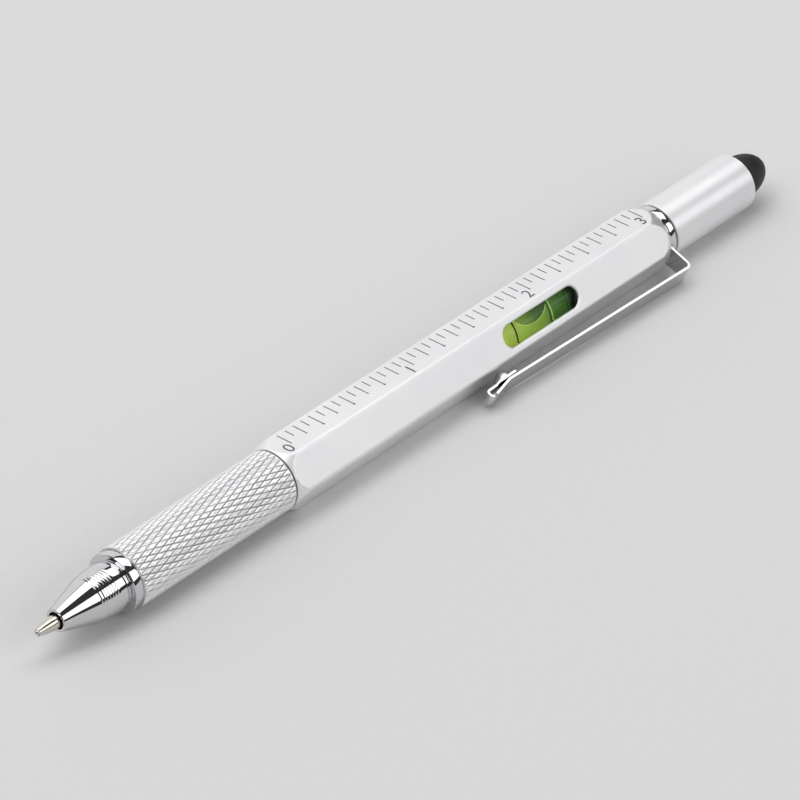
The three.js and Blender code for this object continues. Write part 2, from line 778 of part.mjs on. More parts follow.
function rearCollar() {
  const profile = [
    [washerRearX, rearSeatRadius],
    [washerRearX, rearCollarRadius - rearCollarEdge],
    [washerRearX + rearCollarEdge, rearCollarRadius],
    [rearCollarEndX - rearCollarEdge, rearCollarRadius],
    [rearCollarEndX, rearCollarRadius - rearCollarEdge],
    [rearCollarEndX, rearSeatRadius],
  ];
  return turned(profile);
}

function bitSocket() {
  const profile = [
    [socketFrontX, 0],
    [socketFrontX, shankRadius - bossEdge],
    [socketFrontX + bossEdge, shankRadius],
    [bossEndX - bossEdge, shankRadius],
    [bossEndX, shankRadius - bossEdge],
    [bossEndX, 0],
  ];
  const socket = hexagon(socketAcrossFlats, bitEdgeRadius);
  const hole = solidOf(alongPen(socket, socketFloorX, bossEndX + cutOverrun - socketFloorX));
  return solidOf(turned(profile)).subtract(hole);
}

function screwdriverBit() {
  const hexStartX = bitInnerX + (bitLength - bitHexLength) / 2;
  const hexEndX = hexStartX + bitHexLength;
  const hexCorner = bitAcrossFlats / Math.sqrt(3);
  const blank = solidOf(alongPen(hexagon(bitAcrossFlats, bitEdgeRadius), bitInnerX, bitLength));
  const envelope = turned(
    [
      [bitInnerX, 0],
      [bitInnerX, bitShankRadius],
      [hexStartX - bitShoulderLength, bitShankRadius],
      [hexStartX, hexCorner],
      [hexEndX, hexCorner],
      [hexEndX + bitShoulderLength, bitShankRadius],
      [bitOuterX - bitTaperLength, bitShankRadius],
      [bitOuterX, bitPointRadius],
      [bitOuterX, 0],
    ],
    innerSides,
  );
  let bit = blank.intersect(solidOf(envelope));
  bit = bit.subtract(bladeCutter(1)).subtract(bladeCutter(-1));
  for (let i = 0; i < 4; i++) bit = bit.subtract(fluteCutter((i * Math.PI) / 2 + Math.PI / 4));
  return bit;
}

// Grinds one side of the flat blade on the bit's inner end.
function bladeCutter(side) {
  const shape = new THREE.Shape([
    new THREE.Vector2(bitInnerX - cutOverrun, bitBladeThickness / 2),
    new THREE.Vector2(bitInnerX, bitBladeThickness / 2),
    new THREE.Vector2(bitInnerX + 2 * bitTaperLength, bitShankRadius),
    new THREE.Vector2(bitInnerX + 2 * bitTaperLength, bitShankRadius + cutOverrun),
    new THREE.Vector2(bitInnerX - cutOverrun, bitShankRadius + cutOverrun),
  ]);
  const wedge = acrossPen(shape, 2 * (bitShankRadius + cutOverrun));
  return solidOf(side > 0 ? wedge : wedge.rotateX(Math.PI));
}

// Grinds one of the four flutes of the cross point on the bit's outer end.
function fluteCutter(turn) {
  const startX = bitOuterX - 2 * bitTaperLength;
  const depth = 2 * bitShankRadius;
  const wall = bitFluteWidth / 2;
  const ring = (x, floor) => [
    new THREE.Vector3(x, 0, floor),
    new THREE.Vector3(x, depth, floor + depth),
    new THREE.Vector3(x, -depth, floor + depth),
  ];
  const rings = [ring(startX, bitShankRadius), ring(bitOuterX + cutOverrun, wall * bitFluteRunoutShare)];
  return outward(lofted(rings).rotateX(turn));
}

function stylusCap() {
  const neckHole = stylusNeckRadius + runningGap;
  const profile = [
    [capFrontX, capBoreRadius],
    [capFrontX, capRadius - capEdge],
    [capFrontX + capEdge, capRadius],
    [capEndX - capEdge, capRadius],
    [capEndX, capRadius - capEdge],
    [capEndX, neckHole],
    [capBoreEndX, neckHole],
    [capBoreEndX, capBoreRadius],
  ];
  return turned(profile);
}

function stylusTip() {
  const skirtEndX = capEndX + stylusSkirtLength;
  const profile = [
    [capBoreEndX, 0],
    [capBoreEndX, stylusNeckRadius],
    [capEndX, stylusNeckRadius],
    [capEndX, stylusRadius],
  ];
  const steps = 6;
  for (let step = 0; step <= steps; step++) {
    const angle = (step * Math.PI) / 2 / steps;
    const rise = (stylusLength - stylusSkirtLength) * Math.sin(angle);
    profile.push([skirtEndX + rise, step === steps ? 0 : stylusRadius * Math.cos(angle)]);
  }
  return turned(profile);
}

const ball = new THREE.SphereGeometry(ballRadius, smallSides, smallSides / 2);
place("writing_ball", ball.translate(ballX, 0, 0), "steel");
place("refill_point", refillPoint(), "nickel");
place("refill_tube", tube(pointShoulderX, refillRearX, refillBoreRadius, refillRadius, smallSides), "brass");

const inkStartX = pointShoulderX + pointStemLength + runningGap;
const inkRadius = refillBoreRadius - runningGap;
const followerX = refillRearX - inkHeadroom - followerLength;
place("ink_column", rod(inkStartX, followerX, inkRadius, smallSides), "blueInk");
place("ink_follower", rod(followerX, followerX + followerLength, inkRadius, smallSides), "clearPlastic");
place("refill_carrier", refillCarrier(), "whitePlastic");
place("follower_pin", radialRod(pinX, runningGap, camOuterRadius, pinRadius), "steel");

place("nose_cone", noseCone(), "chrome");
place("front_collar", frontCollar(), "chrome");
place("knurled_grip", knurledGrip(), "satinSilver");
place("grip_washer", tube(gripRearX, barrelFrontX, spigotRadius, washerRadius, outerSides), "blackPlastic");
place("guide_tube", guideTube(), "brass");
place("retaining_ring", retainingRing(), "steel");
const bushingEndX = barrelFrontX + bushingLength;
place("front_bushing", tube(barrelFrontX, bushingEndX, camInnerRadius, camOuterRadius), "brass");
place("cam_tube", camTube(), "brass");

place("hex_barrel", hexBarrel(), "satinSilver");
place("level_vial", levelVial(), "clearPlastic");
place("vial_liquid", vialLiquid(), "levelLiquid");
const plugRadius = vialBoreRadius - runningGap;
place("vial_plug", rod(vialRearX - vialPlugLength, vialRearX, plugRadius), "blackPlastic");

place("clip_ring", clipRing(), "chrome");
place("clip_arm", clipArm(), "chrome");
place("rear_collar", rearCollar(), "chrome");
place("bit_socket", bitSocket(), "steel");
place("socket_magnet", rod(socketFloorX, bitInnerX, magnetRadius, smallSides), "nickel");
place("screwdriver_bit", screwdriverBit(), "steel");
place("stylus_cap", stylusCap(), "satinSilver");
place("stylus_tip", stylusTip(), "blackRubber");

export default pen;
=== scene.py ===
import math

import bmesh
import bpy
from mathutils import Matrix, Quaternion, Vector


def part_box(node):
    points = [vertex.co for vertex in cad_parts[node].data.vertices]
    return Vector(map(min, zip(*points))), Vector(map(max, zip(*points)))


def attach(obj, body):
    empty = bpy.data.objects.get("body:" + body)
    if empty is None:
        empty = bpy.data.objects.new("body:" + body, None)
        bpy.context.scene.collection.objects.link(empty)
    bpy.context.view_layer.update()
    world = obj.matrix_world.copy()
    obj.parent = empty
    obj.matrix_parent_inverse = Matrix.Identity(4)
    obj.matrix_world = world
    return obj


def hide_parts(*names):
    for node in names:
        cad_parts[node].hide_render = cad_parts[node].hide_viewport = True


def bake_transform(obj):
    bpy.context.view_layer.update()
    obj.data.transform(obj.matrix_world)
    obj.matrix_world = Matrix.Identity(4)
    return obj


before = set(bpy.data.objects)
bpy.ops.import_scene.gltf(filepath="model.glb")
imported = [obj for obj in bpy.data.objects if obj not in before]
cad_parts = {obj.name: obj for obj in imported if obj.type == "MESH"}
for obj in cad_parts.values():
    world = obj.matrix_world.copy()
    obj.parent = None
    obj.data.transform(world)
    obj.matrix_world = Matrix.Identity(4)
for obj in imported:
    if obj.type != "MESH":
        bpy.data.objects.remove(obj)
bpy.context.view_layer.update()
print("frame loaded")

mm = 0.001
axisHeight = 4.75  # mm, the pen's axis above the flat that it rests on
axisPoint = Vector((0, 0, axisHeight * mm))
fineSteps = 128  # faces round a turned piece
bevelFrom = 28  # degrees that two faces turn by, from which their edge is rounded
creaseFrom = 38  # and from which it is shaded as a crease


# where a node of the frame starts and ends along the pen, in mm
def reachOf(node):
    lowest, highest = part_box(node)
    return lowest[0] / mm, highest[0] / mm


barrelFront, barrelRear = reachOf("hex_barrel")
gripFront, gripRear = reachOf("knurled_grip")
noseFront = reachOf("nose_cone")[0]
collarFront = reachOf("front_collar")[0]
washerRear, rearCollarEnd = reachOf("rear_collar")
capFront, capEnd = reachOf("stylus_cap")
stylusFront, stylusEnd = reachOf("stylus_tip")
vialFront, vialRear = reachOf("level_vial")
windowMiddle = (vialFront + vialRear) / 2


# modelling steps that the pieces share

def choose(piece):
    bpy.ops.object.select_all(action="DESELECT")
    piece.select_set(True)
    bpy.context.view_layer.objects.active = piece


def openEdit(piece, mode="VERT"):
    choose(piece)
    bpy.ops.object.mode_set(mode="EDIT")
    bpy.ops.mesh.select_mode(type=mode)
    bpy.ops.mesh.select_all(action="DESELECT")


def closeEdit():
    bpy.ops.object.mode_set(mode="OBJECT")


# selects the points, edges or faces of the piece in edit mode that pass the test
def pick(piece, kind, test):
    mesh = bmesh.from_edit_mesh(piece.data)
    for item in getattr(mesh, kind):
        item.select_set(bool(test(item)))
    mesh.select_flush_mode()
    bmesh.update_edit_mesh(piece.data)


def settle(piece):
    choose(piece)
    bpy.ops.object.transform_apply(location=True, rotation=True, scale=True)


def modify(piece, kind, **settings):
    choose(piece)
    modifier = piece.modifiers.new(kind.lower(), kind)
    for key, value in settings.items():
        setattr(modifier, key, value)
    bpy.ops.object.modifier_apply(modifier=modifier.name)


def carve(piece, tool, operation="DIFFERENCE"):
    modify(piece, "BOOLEAN", operation=operation, object=tool, solver="EXACT")
    bpy.data.objects.remove(tool, do_unlink=True)


def joinTo(piece, *others):
    choose(piece)
    for other in others:
        other.select_set(True)
    bpy.ops.object.join()


# welds points nearer than the gap, in mm, and turns the faces outwards
def tidyMesh(piece, gap=0.002):
    openEdit(piece)
    bpy.ops.mesh.select_all(action="SELECT")
    bpy.ops.mesh.remove_doubles(threshold=gap * mm)
    bpy.ops.mesh.select_all(action="SELECT")
    bpy.ops.mesh.normals_make_consistent(inside=False)
    closeEdit()


# rounds the hard edges a little, as deburring and plating leave them, and shades the rest smooth
def easeEdges(piece, width, angle=bevelFrom):
    if width:
        modify(piece, "BEVEL", width=width * mm, segments=2, limit_method="ANGLE",
               angle_limit=math.radians(angle), use_clamp_overlap=True)
    choose(piece)
    bpy.ops.object.shade_smooth_by_angle(angle=math.radians(creaseFrom))
    modify(piece, "WEIGHTED_NORMAL", keep_sharp=True, weight=100)


# place over the pen's axis, both in mm
def onAxis(x, radius):
    return Vector((x * mm, 0, (axisHeight + radius) * mm))


# one point at the first place of a line, then extruded from place to place
def drawLine(name, places):
    bpy.ops.object.select_all(action="DESELECT")
    bpy.ops.mesh.primitive_plane_add(size=mm, location=places[0])
    piece = bpy.context.object
    piece.name = name
    settle(piece)
    openEdit(piece)
    bpy.ops.mesh.select_all(action="SELECT")
    bpy.ops.mesh.merge(type="CENTER")
    for here, there in zip(places, places[1:]):
        bpy.ops.mesh.extrude_region_move(TRANSFORM_OT_translate={"value": there - here})
    closeEdit()
    return piece


# spins a line of (mm along the pen, mm from its axis) once round the axis
def turnPiece(name, profile, steps=fineSteps, edge=0.04):
    piece = drawLine(name, [onAxis(x, radius) for x, radius in profile])
    openEdit(piece)
    bpy.ops.mesh.select_all(action="SELECT")
    bpy.ops.mesh.spin(steps=steps, angle=2 * math.pi, center=axisPoint, axis=(1, 0, 0))
    closeEdit()
    tidyMesh(piece)
    if edge is not None:
        easeEdges(piece, edge)
    return piece


# places from one (x, radius) to another that swell a little in the middle
def swell(start, end, crown, count=8):
    places = []
    for i in range(count + 1):
        share = i / count
        x = start[0] + (end[0] - start[0]) * share
        radius = start[1] + (end[1] - start[1]) * share + crown * math.sin(math.pi * share)
        places.append((x, radius))
    return places


# outline of a plain ring, for turnPiece
def ringOf(startX, endX, inner, outer):
    return [(startX, inner), (startX, outer), (endX, outer), (endX, inner), (startX, inner)]


# and of a plain rod
def rodOf(startX, endX, radius):
    return [(startX, 0), (startX, radius), (endX, radius), (endX, 0)]


# materials

# colour code as Blender's linear colour
def tint(code):
    channels = [int(code[i:i + 2], 16) / 255 for i in (1, 3, 5)]
    linear = [c / 12.92 if c <= 0.04045 else ((c + 0.055) / 1.055) ** 2.4 for c in channels]
    return (*linear, 1)


# inputs are named as on the node, with _ for a space, or by number as in_0
def addNode(tree, kind, settings=None, **inputs):
    node = tree.nodes.new("ShaderNode" + kind)
    for key, value in (settings or {}).items():
        setattr(node, key, value)
    for key, value in inputs.items():
        name = key.replace("_", " ")
        socket = node.inputs[int(name[3:])] if name.startswith("in ") else node.inputs[name]
        if isinstance(value, bpy.types.NodeSocket):
            tree.links.new(value, socket)
        else:
            socket.default_value = value
    return node


def newFinish(name):
    finish = bpy.data.materials.new(name)
    finish.use_nodes = True
    finish.node_tree.nodes.clear()
    return finish, finish.node_tree


def endFinish(tree, shader):
    addNode(tree, "OutputMaterial", Surface=shader.outputs[0])


def rampOf(tree, factor, stops):
    ramp = addNode(tree, "ValToRGB", Fac=factor)
    points = ramp.color_ramp.elements
    points[0].position, points[0].color = stops[0]
    points[1].position, points[1].color = stops[-1]
    for place, colour in stops[1:-1]:
        points.new(place).color = colour
    return ramp.outputs["Color"]


# satin silver lacquer over drawn aluminium: an even pale sheen with a very fine grain along the pen
def satinSilver(name, grainAlong=True):
    finish, tree = newFinish(name)
    place = addNode(tree, "TexCoord").outputs["Object"]
    stretch = (60, 2200, 2200) if grainAlong else (2200, 60, 60)
    lines = addNode(tree, "Mapping", Vector=place, Scale=stretch)
    grain = addNode(tree, "TexNoise", Vector=lines.outputs[0], Scale=1.0, Detail=3.0)
    cloud = addNode(tree, "TexNoise", Vector=place, Scale=90.0, Detail=2.0)
    tone = rampOf(tree, cloud.outputs["Fac"], [(0.3, tint("#EDEDEF")), (0.7, tint("#F3F3F4"))])
    rough = addNode(tree, "MapRange", Value=grain.outputs["Fac"], To_Min=0.44, To_Max=0.52)
    bump = addNode(tree, "Bump", Height=grain.outputs["Fac"], Strength=0.05, Distance=0.00002)
    shader = addNode(tree, "BsdfPrincipled", Base_Color=tone, Metallic=1.0,
                     Roughness=rough.outputs[0], Normal=bump.outputs[0])
    endFinish(tree, shader)
    return finish


# bright chrome plate on brass: a clear mirror, with a trace of handling haze
def brightChrome():
    finish, tree = newFinish("bright_chrome_plate")
    place = addNode(tree, "TexCoord").outputs["Object"]
    haze = addNode(tree, "TexNoise", Vector=place, Scale=260.0, Detail=4.0)
    rough = addNode(tree, "MapRange", Value=haze.outputs["Fac"], To_Min=0.03, To_Max=0.07)
    tone = rampOf(tree, haze.outputs["Fac"], [(0.2, tint("#D0D0D2")), (0.8, tint("#D7D7D9"))])
    shader = addNode(tree, "BsdfPrincipled", Base_Color=tone, Metallic=1.0, Roughness=rough.outputs[0])
    endFinish(tree, shader)
    return finish


# rolled knurl under the same silver, its colour painted darker towards the grooves as painted shade,
# lightest on the crests
def knurlSilver(grooveRadius, crestRadius):
    finish, tree = newFinish("rolled_knurl_silver_painted_groove_shade")
    place = addNode(tree, "TexCoord").outputs["Object"]
    centred = addNode(tree, "Mapping", Vector=place, Location=(0, 0, -axisHeight * mm))
    across = addNode(tree, "VectorMath", {"operation": "MULTIPLY"}, in_0=centred.outputs[0], in_1=(0, 1, 1))
    radius = addNode(tree, "VectorMath", {"operation": "LENGTH"}, in_0=across.outputs[0])
    # painted shade: a point's colour darkens the nearer it lies to the grooves
    height = addNode(tree, "MapRange", Value=radius.outputs["Value"],
                     From_Min=grooveRadius * mm, From_Max=crestRadius * mm)
    tone = rampOf(tree, height.outputs[0], [(0.0, tint("#A6A6A9")), (0.25, tint("#CACACC")),
                                            (0.5, tint("#E6E6E8")), (1.0, tint("#F2F2F3"))])
    grit = addNode(tree, "TexNoise", Vector=place, Scale=3500.0, Detail=2.0)
    rough = addNode(tree, "MapRange", Value=grit.outputs["Fac"], To_Min=0.3, To_Max=0.42)
    shader = addNode(tree, "BsdfPrincipled", Base_Color=tone, Metallic=1.0, Roughness=rough.outputs[0])
    endFinish(tree, shader)
    return finish


# turned or drawn bare metal: fine marks square to the pen's axis
def turnedMetal(name, dark, light, low, high):
    finish, tree = newFinish(name)
    place = addNode(tree, "TexCoord").outputs["Object"]
    marks = addNode(tree, "Mapping", Vector=place, Scale=(9000, 250, 250))
    grain = addNode(tree, "TexNoise", Vector=marks.outputs[0], Scale=1.0, Detail=3.0)
    tone = rampOf(tree, grain.outputs["Fac"], [(0.3, tint(dark)), (0.7, tint(light))])
    rough = addNode(tree, "MapRange", Value=grain.outputs["Fac"], To_Min=low, To_Max=high)
    bump = addNode(tree, "Bump", Height=grain.outputs["Fac"], Strength=0.1, Distance=0.00001)
    shader = addNode(tree, "BsdfPrincipled", Base_Color=tone, Metallic=1.0,
                     Roughness=rough.outputs[0], Normal=bump.outputs[0])
    endFinish(tree, shader)
    return finish


# moulded plastic or rubber: a soft broken gloss from the mould's fine texture
def moulded(name, dark, light, low, high, grainScale, ior=1.5, sheen=0.0):
    finish, tree = newFinish(name)
    place = addNode(tree, "TexCoord").outputs["Object"]
    grain = addNode(tree, "TexNoise", Vector=place, Scale=grainScale, Detail=3.0)
    tone = rampOf(tree, grain.outputs["Fac"], [(0.3, tint(dark)), (0.7, tint(light))])
    rough = addNode(tree, "MapRange", Value=grain.outputs["Fac"], To_Min=low, To_Max=high)
    bump = addNode(tree, "Bump", Height=grain.outputs["Fac"], Strength=0.15, Distance=0.00002)
    shader = addNode(tree, "BsdfPrincipled", Base_Color=tone, Roughness=rough.outputs[0],
                     Normal=bump.outputs[0], IOR=ior, Sheen_Weight=sheen)
    endFinish(tree, shader)
    return finish


# clear acrylic vial: sharp gloss, almost no colour of its own
def clearAcrylic():
    finish, tree = newFinish("clear_acrylic")
    place = addNode(tree, "TexCoord").outputs["Object"]
    haze = addNode(tree, "TexNoise", Vector=place, Scale=400.0, Detail=2.0)
    rough = addNode(tree, "MapRange", Value=haze.outputs["Fac"], To_Min=0.0, To_Max=0.03)
    tone = rampOf(tree, haze.outputs["Fac"], [(0.0, tint("#F6FBEC")), (1.0, tint("#FFFFFF"))])
    shader = addNode(tree, "BsdfPrincipled", Base_Color=tone, Roughness=rough.outputs[0],
                     IOR=1.49, Transmission_Weight=1.0)
    endFinish(tree, shader)
    return finish


# level liquid: a dyed yellow-green with painted light: it glows through emission though no lamp is inside
# it, and its tones darken towards the vial's rear as painted shade
def dyedLiquid(name, colours):
    finish, tree = newFinish(name)
    place = addNode(tree, "TexCoord").outputs["Object"]
    split = addNode(tree, "SeparateXYZ", Vector=place)
    along = addNode(tree, "MapRange", Value=split.outputs["X"],
                    From_Min=vialFront * mm, From_Max=vialRear * mm)
    swirl = addNode(tree, "TexNoise", Vector=place, Scale=300.0, Detail=2.0)
    mixed = addNode(tree, "Math", {"operation": "MULTIPLY_ADD"}, in_0=swirl.outputs["Fac"],
                    in_1=liquidSwirl, in_2=along.outputs[0])
    tone = rampOf(tree, mixed.outputs[0], [(stop, tint(colour)) for stop, colour in colours])
    # painted glow: the liquid's tone is also given out as light
    shader = addNode(tree, "BsdfPrincipled", Base_Color=tone, Roughness=0.1, IOR=1.36,
                     Emission_Color=tone, Emission_Strength=liquidPaintedGlow)
    endFinish(tree, shader)
    return finish


# pad-printed ruler ink: matt near-black, a little thin in places
def printInk():
    finish, tree = newFinish("pad_printed_ink")
    place = addNode(tree, "TexCoord").outputs["Object"]
    patch = addNode(tree, "TexNoise", Vector=place, Scale=1500.0, Detail=3.0)
    tone = rampOf(tree, patch.outputs["Fac"], [(0.35, tint("#3B3A3E")), (0.75, tint("#6A696E"))])
    shader = addNode(tree, "BsdfPrincipled", Base_Color=tone, Roughness=0.6)
    endFinish(tree, shader)
    return finish


# matt pale board that the pen lies on
def paleBoard():
    finish, tree = newFinish("pale_board")
    place = addNode(tree, "TexCoord").outputs["Object"]
    fibre = addNode(tree, "TexNoise", Vector=place, Scale=900.0, Detail=2.0)
    tone = rampOf(tree, fibre.outputs["Fac"], [(0.0, tint("#D6D6D6")), (1.0, tint("#DADADA"))])
    shader = addNode(tree, "BsdfPrincipled", Base_Color=tone, Roughness=0.8)
    endFinish(tree, shader)
    return finish


# tones of the liquid from the vial's front (0) to its rear (1); their darkening towards the rear is painted
# shade
liquidTones = {
    "open": [(0.1, "#C2D65C"), (0.45, "#A4C257"), (0.66, "#86A84A"), (0.8, "#557E38"), (0.95, "#355A2A")],
    # painted highlight: the bubble's bright rim and the lit side of a ring mark
    "edge": [(0.2, "#BCDB74"), (1.0, "#A2C862")],
    # painted shade and painted reflection: the bubble's dark patch and the shaded side of a ring mark
    "paintedShade": [(0.3, "#90A650"), (0.5, "#6C8B42"), (0.65, "#426232"), (0.9, "#2F4F2A")],
}
liquidSwirl = 0.2  # how far the tones wander
# strength of the liquid's painted glow
liquidPaintedGlow = 0.42

satinBarrel = satinSilver("satin_silver_drawn")
satinTurned = satinSilver("satin_silver_turned", grainAlong=False)
chromePlate = brightChrome()
brassTurned = turnedMetal("turned_brass", "#B8924A", "#D0AC62", 0.22, 0.34)
nickelPoint = turnedMetal("turned_nickel_silver", "#CFCCC0", "#DAD7CD", 0.12, 0.2)
groundSteel = turnedMetal("ground_tool_steel", "#8E9094", "#B4B6BA", 0.24, 0.38)
polishedSteel = turnedMetal("polished_steel", "#B6B8BC", "#D2D4D8", 0.1, 0.18)
magnetNickel = turnedMetal("nickel_plated_magnet", "#B5B2AA", "#CFCCC4", 0.12, 0.2)
blackRubber = moulded("moulded_black_rubber", "#070708", "#0C0D0E", 0.5, 0.62, 1800.0, 1.45, 0.03)
blackPlastic = moulded("moulded_black_acetal", "#121314", "#1C1D1F", 0.4, 0.55, 1500.0)
greyNylon = moulded("moulded_grey_nylon", "#47484A", "#545557", 0.4, 0.55, 1500.0)
greenStopper = moulded("dark_stopper_seen_through_liquid", "#2C482A", "#3C5C36", 0.4, 0.55, 900.0)
whitePlastic = moulded("moulded_white_acetal", "#DEDED8", "#E9E9E4", 0.35, 0.5, 1500.0)
blueInk = moulded("blue_paste_ink", "#101E6E", "#1B2F8A", 0.2, 0.35, 700.0)
clearGrease = moulded("clear_grease", "#CFCFA8", "#E2E2C4", 0.2, 0.35, 600.0)
vialAcrylic = clearAcrylic()
levelLiquidPaintedLight = dyedLiquid("level_liquid_painted_glow_and_shade", liquidTones["open"])
liquidPaintedHighlight = dyedLiquid("liquid_painted_highlight", liquidTones["edge"])
liquidPaintedShade = dyedLiquid("liquid_painted_shade", liquidTones["paintedShade"])
rulerInk = printInk()
print("materials made")


def dress(piece, *finishes):
    piece.data.materials.clear()
    for finish in finishes:
        piece.data.materials.append(finish)


def fit(piece, name, body, slotName, *nodes):
    piece.name = name
    piece.data.name = name
    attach(piece, body)
    if nodes:
        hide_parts(*nodes)


# camera: stands where the photograph was taken from, in metres
view = {
    "place": (-0.4718447, -0.3967447, 0.4166229),
    "right": (0.6549241, -0.7556946, -0.0004203),
    "up": (0.4255162, 0.3683146, 0.8266077),
    "back": (-0.6245081, -0.5415442, 0.5627784),
    "lens": 236.413,
}
bpy.ops.object.select_all(action="DESELECT")
bpy.ops.object.camera_add(location=view["place"])
camera = bpy.context.object
turn = Matrix((view["right"], view["up"], view["back"])).transposed()
camera.matrix_world = Matrix.Translation(view["place"]) @ turn.to_4x4()
camera.data.lens = view["lens"]
camera.data.sensor_width = 36
camera.data.sensor_fit = "HORIZONTAL"
camera.data.clip_start = 0.01
camera.data.clip_end = 20
bpy.context.scene.camera = camera

# floor and lamps
studio = {
    "floorSize": 6,
    "floorDrop": 0.02,  # mm, so that the floor and the flat on it don't share a plane
    "room": "#3C3C3D",
    # place in metres, the way its back points, width and height, brightness of the lit face, roll in degrees
    "lamps": [
        ((0.60, 1.00, 0.74), (0, 1, 0), (2.8, 1.46), 0.88, 0),  # behind, seen in the ruler's flat
        ((0.50, 0.13, 1.10), (0, 0, 1), (1.9, 0.80), 1.85, -18),  # above, runs along the upper edges
        ((0.60, -1.00, 0.72), (0, -1, 0), (2.4, 0.88), 1.7, 0),  # in front, seen in the window's flat
        ((-0.75, 0.10, 1.05), (-0.6, 0.1, 1.0), (0.9, 0.9), 2.0, 0),  # fills the floor
    ],
}
bpy.ops.object.select_all(action="DESELECT")
bpy.ops.mesh.primitive_plane_add(size=studio["floorSize"], location=(0, 0, -studio["floorDrop"] * mm))
floor = bpy.context.object
floor.name = "floor"
settle(floor)
dress(floor, paleBoard())
for place, way, (width, height), brightness, roll in studio["lamps"]:
    bpy.ops.object.light_add(type="AREA", location=place)
    lamp = bpy.context.object
    lamp.data.shape = "RECTANGLE"
    lamp.data.size = width
    lamp.data.size_y = height
    lamp.data.energy = brightness * math.pi * width * height
    rolled = Vector(way).to_track_quat("Z", "Y") @ Quaternion((0, 0, 1), math.radians(roll))
    lamp.rotation_euler = rolled.to_euler()
world = bpy.data.worlds.new("soft_room")
bpy.context.scene.world = world
world.use_nodes = True
world.node_tree.nodes["Background"].inputs["Color"].default_value = tint(studio["room"])
bpy.context.scene.view_settings.view_transform = "Standard"
print("studio set")


# hexagonal barrel: drawn tube, its ends turned to shoulders, with a milled window
barrel = {
    "acrossFlats": 9.5,
    "edgeRadius": 0.6,
    "bore": 3.7,
    "seatBore": 3.406,  # at the rear, round the bit's socket
    "seatLength": 16.8,
    "frontFace": 4.6,
    "frontShoulder": 2.5,
    "rearFace": 4.5,
    "rearShoulder": 3.6,
    "crown": 0.16,
    "windowLength": 16.2,
    "windowWidth": 3.3,
    "windowFoot": 2,  # where the cutter starts, mm above the pen's axis
    "overrun": 2,  # how far a cutter passes an end, and the blank both ends together
    "clearance": 0.02,  # between the corners and the cutter of the shoulders
    "weld": 0.0005,  # mm, finer than the window's steps
    # rise to the face and growth of the window's rounded rim
    "rim": [(-0.3, 0.0), (-0.16, 0.04), (-0.06, 0.13), (0.0, 0.3), (1.0, 0.3)],
}
windowTurn = math.radians(60)  # the window's flat leans this far from the ruler's


def turnAboutPen(piece, angle):
    piece.matrix_world = (Matrix.Translation(axisPoint) @ Matrix.Rotation(angle, 4, "X")
                          @ Matrix.Translation(-axisPoint))
    settle(piece)


# upright body with the window's outline, drawn up from its foot through levels of (height, growth)
def slotBody(length, width, foot, levels):
    count = 64
    bpy.ops.object.select_all(action="DESELECT")
    bpy.ops.mesh.primitive_circle_add(vertices=count, radius=width / 2 * mm, fill_type="NGON",
                                      location=(windowMiddle * mm, 0, (axisHeight + foot) * mm),
                                      rotation=(0, 0, math.pi / count))
    body = bpy.context.object
    settle(body)
    openEdit(body)
    for side in (1, -1):
        pick(body, "verts", lambda v: (v.co.x - windowMiddle * mm) * side > 0)
        bpy.ops.transform.translate(value=(side * (length - width) / 2 * mm, 0, 0))
    bpy.ops.mesh.select_all(action="SELECT")
    reached, grown = foot, 0
    for height, growth in levels:
        step = Vector((0, 0, (height - reached) * mm))
        bpy.ops.mesh.extrude_region_move(TRANSFORM_OT_translate={"value": step})
        longer = (length + 2 * growth) / (length + 2 * grown)
        wider = (width + 2 * growth) / (width + 2 * grown)
        bpy.ops.transform.resize(value=(longer, wider, 1),
                                 center_override=(windowMiddle * mm, 0, (axisHeight + height) * mm))
        reached, grown = height, growth
    closeEdit()
    tidyMesh(body)
    turnAboutPen(body, windowTurn)
    return body


def makeBarrel():
    flats = barrel["acrossFlats"]
    corner = flats / math.sqrt(3)
    over = barrel["overrun"]
    length = barrelRear - barrelFront + over
    bpy.ops.object.select_all(action="DESELECT")
    bpy.ops.mesh.primitive_cylinder_add(vertices=6, radius=corner * mm, depth=length * mm,
                                        location=((barrelFront + barrelRear) / 2 * mm, 0, axisHeight * mm),
                                        rotation=(0, math.pi / 2, 0))
    shell = bpy.context.object
    settle(shell)
    openEdit(shell, "EDGE")
    pick(shell, "edges", lambda e: abs(e.verts[0].co.x - e.verts[1].co.x) > mm)
    bpy.ops.mesh.bevel(offset=barrel["edgeRadius"] * math.tan(math.radians(30)) * mm, segments=6)
    closeEdit()
    seatStart = barrelRear - barrel["seatLength"]
    bore = [(barrelFront - over, 0), (barrelFront - over, barrel["bore"]), (seatStart, barrel["bore"]),
            (seatStart, barrel["seatBore"]), (barrelRear + over, barrel["seatBore"]), (barrelRear + over, 0)]
    levels = [(flats / 2 + rise, growth) for rise, growth in barrel["rim"]]
    widest = corner + barrel["clearance"]
    frontEnd = (barrelFront + barrel["frontShoulder"], widest)
    rearStart = (barrelRear - barrel["rearShoulder"], widest)
    shoulders = [(barrelFront, 0)]
    shoulders += swell((barrelFront, barrel["frontFace"]), frontEnd, barrel["crown"])
    shoulders += swell(rearStart, (barrelRear, barrel["rearFace"]), barrel["crown"])
    shoulders += [(barrelRear, 0)]
    carve(shell, turnPiece("bore_tool", bore, edge=None))
    tidyMesh(shell, barrel["weld"])
    carve(shell, slotBody(barrel["windowLength"], barrel["windowWidth"], barrel["windowFoot"], levels))
    tidyMesh(shell, barrel["weld"])
    carve(shell, turnPiece("shoulder_tool", shoulders, edge=None), "INTERSECT")
    tidyMesh(shell)
    easeEdges(shell, 0.05, angle=35)
    dress(shell, satinBarrel)
    return shell


shell = makeBarrel()
fit(shell, "barrel_shell", "barrel", "satin_silver", "hex_barrel")
print("barrel made")


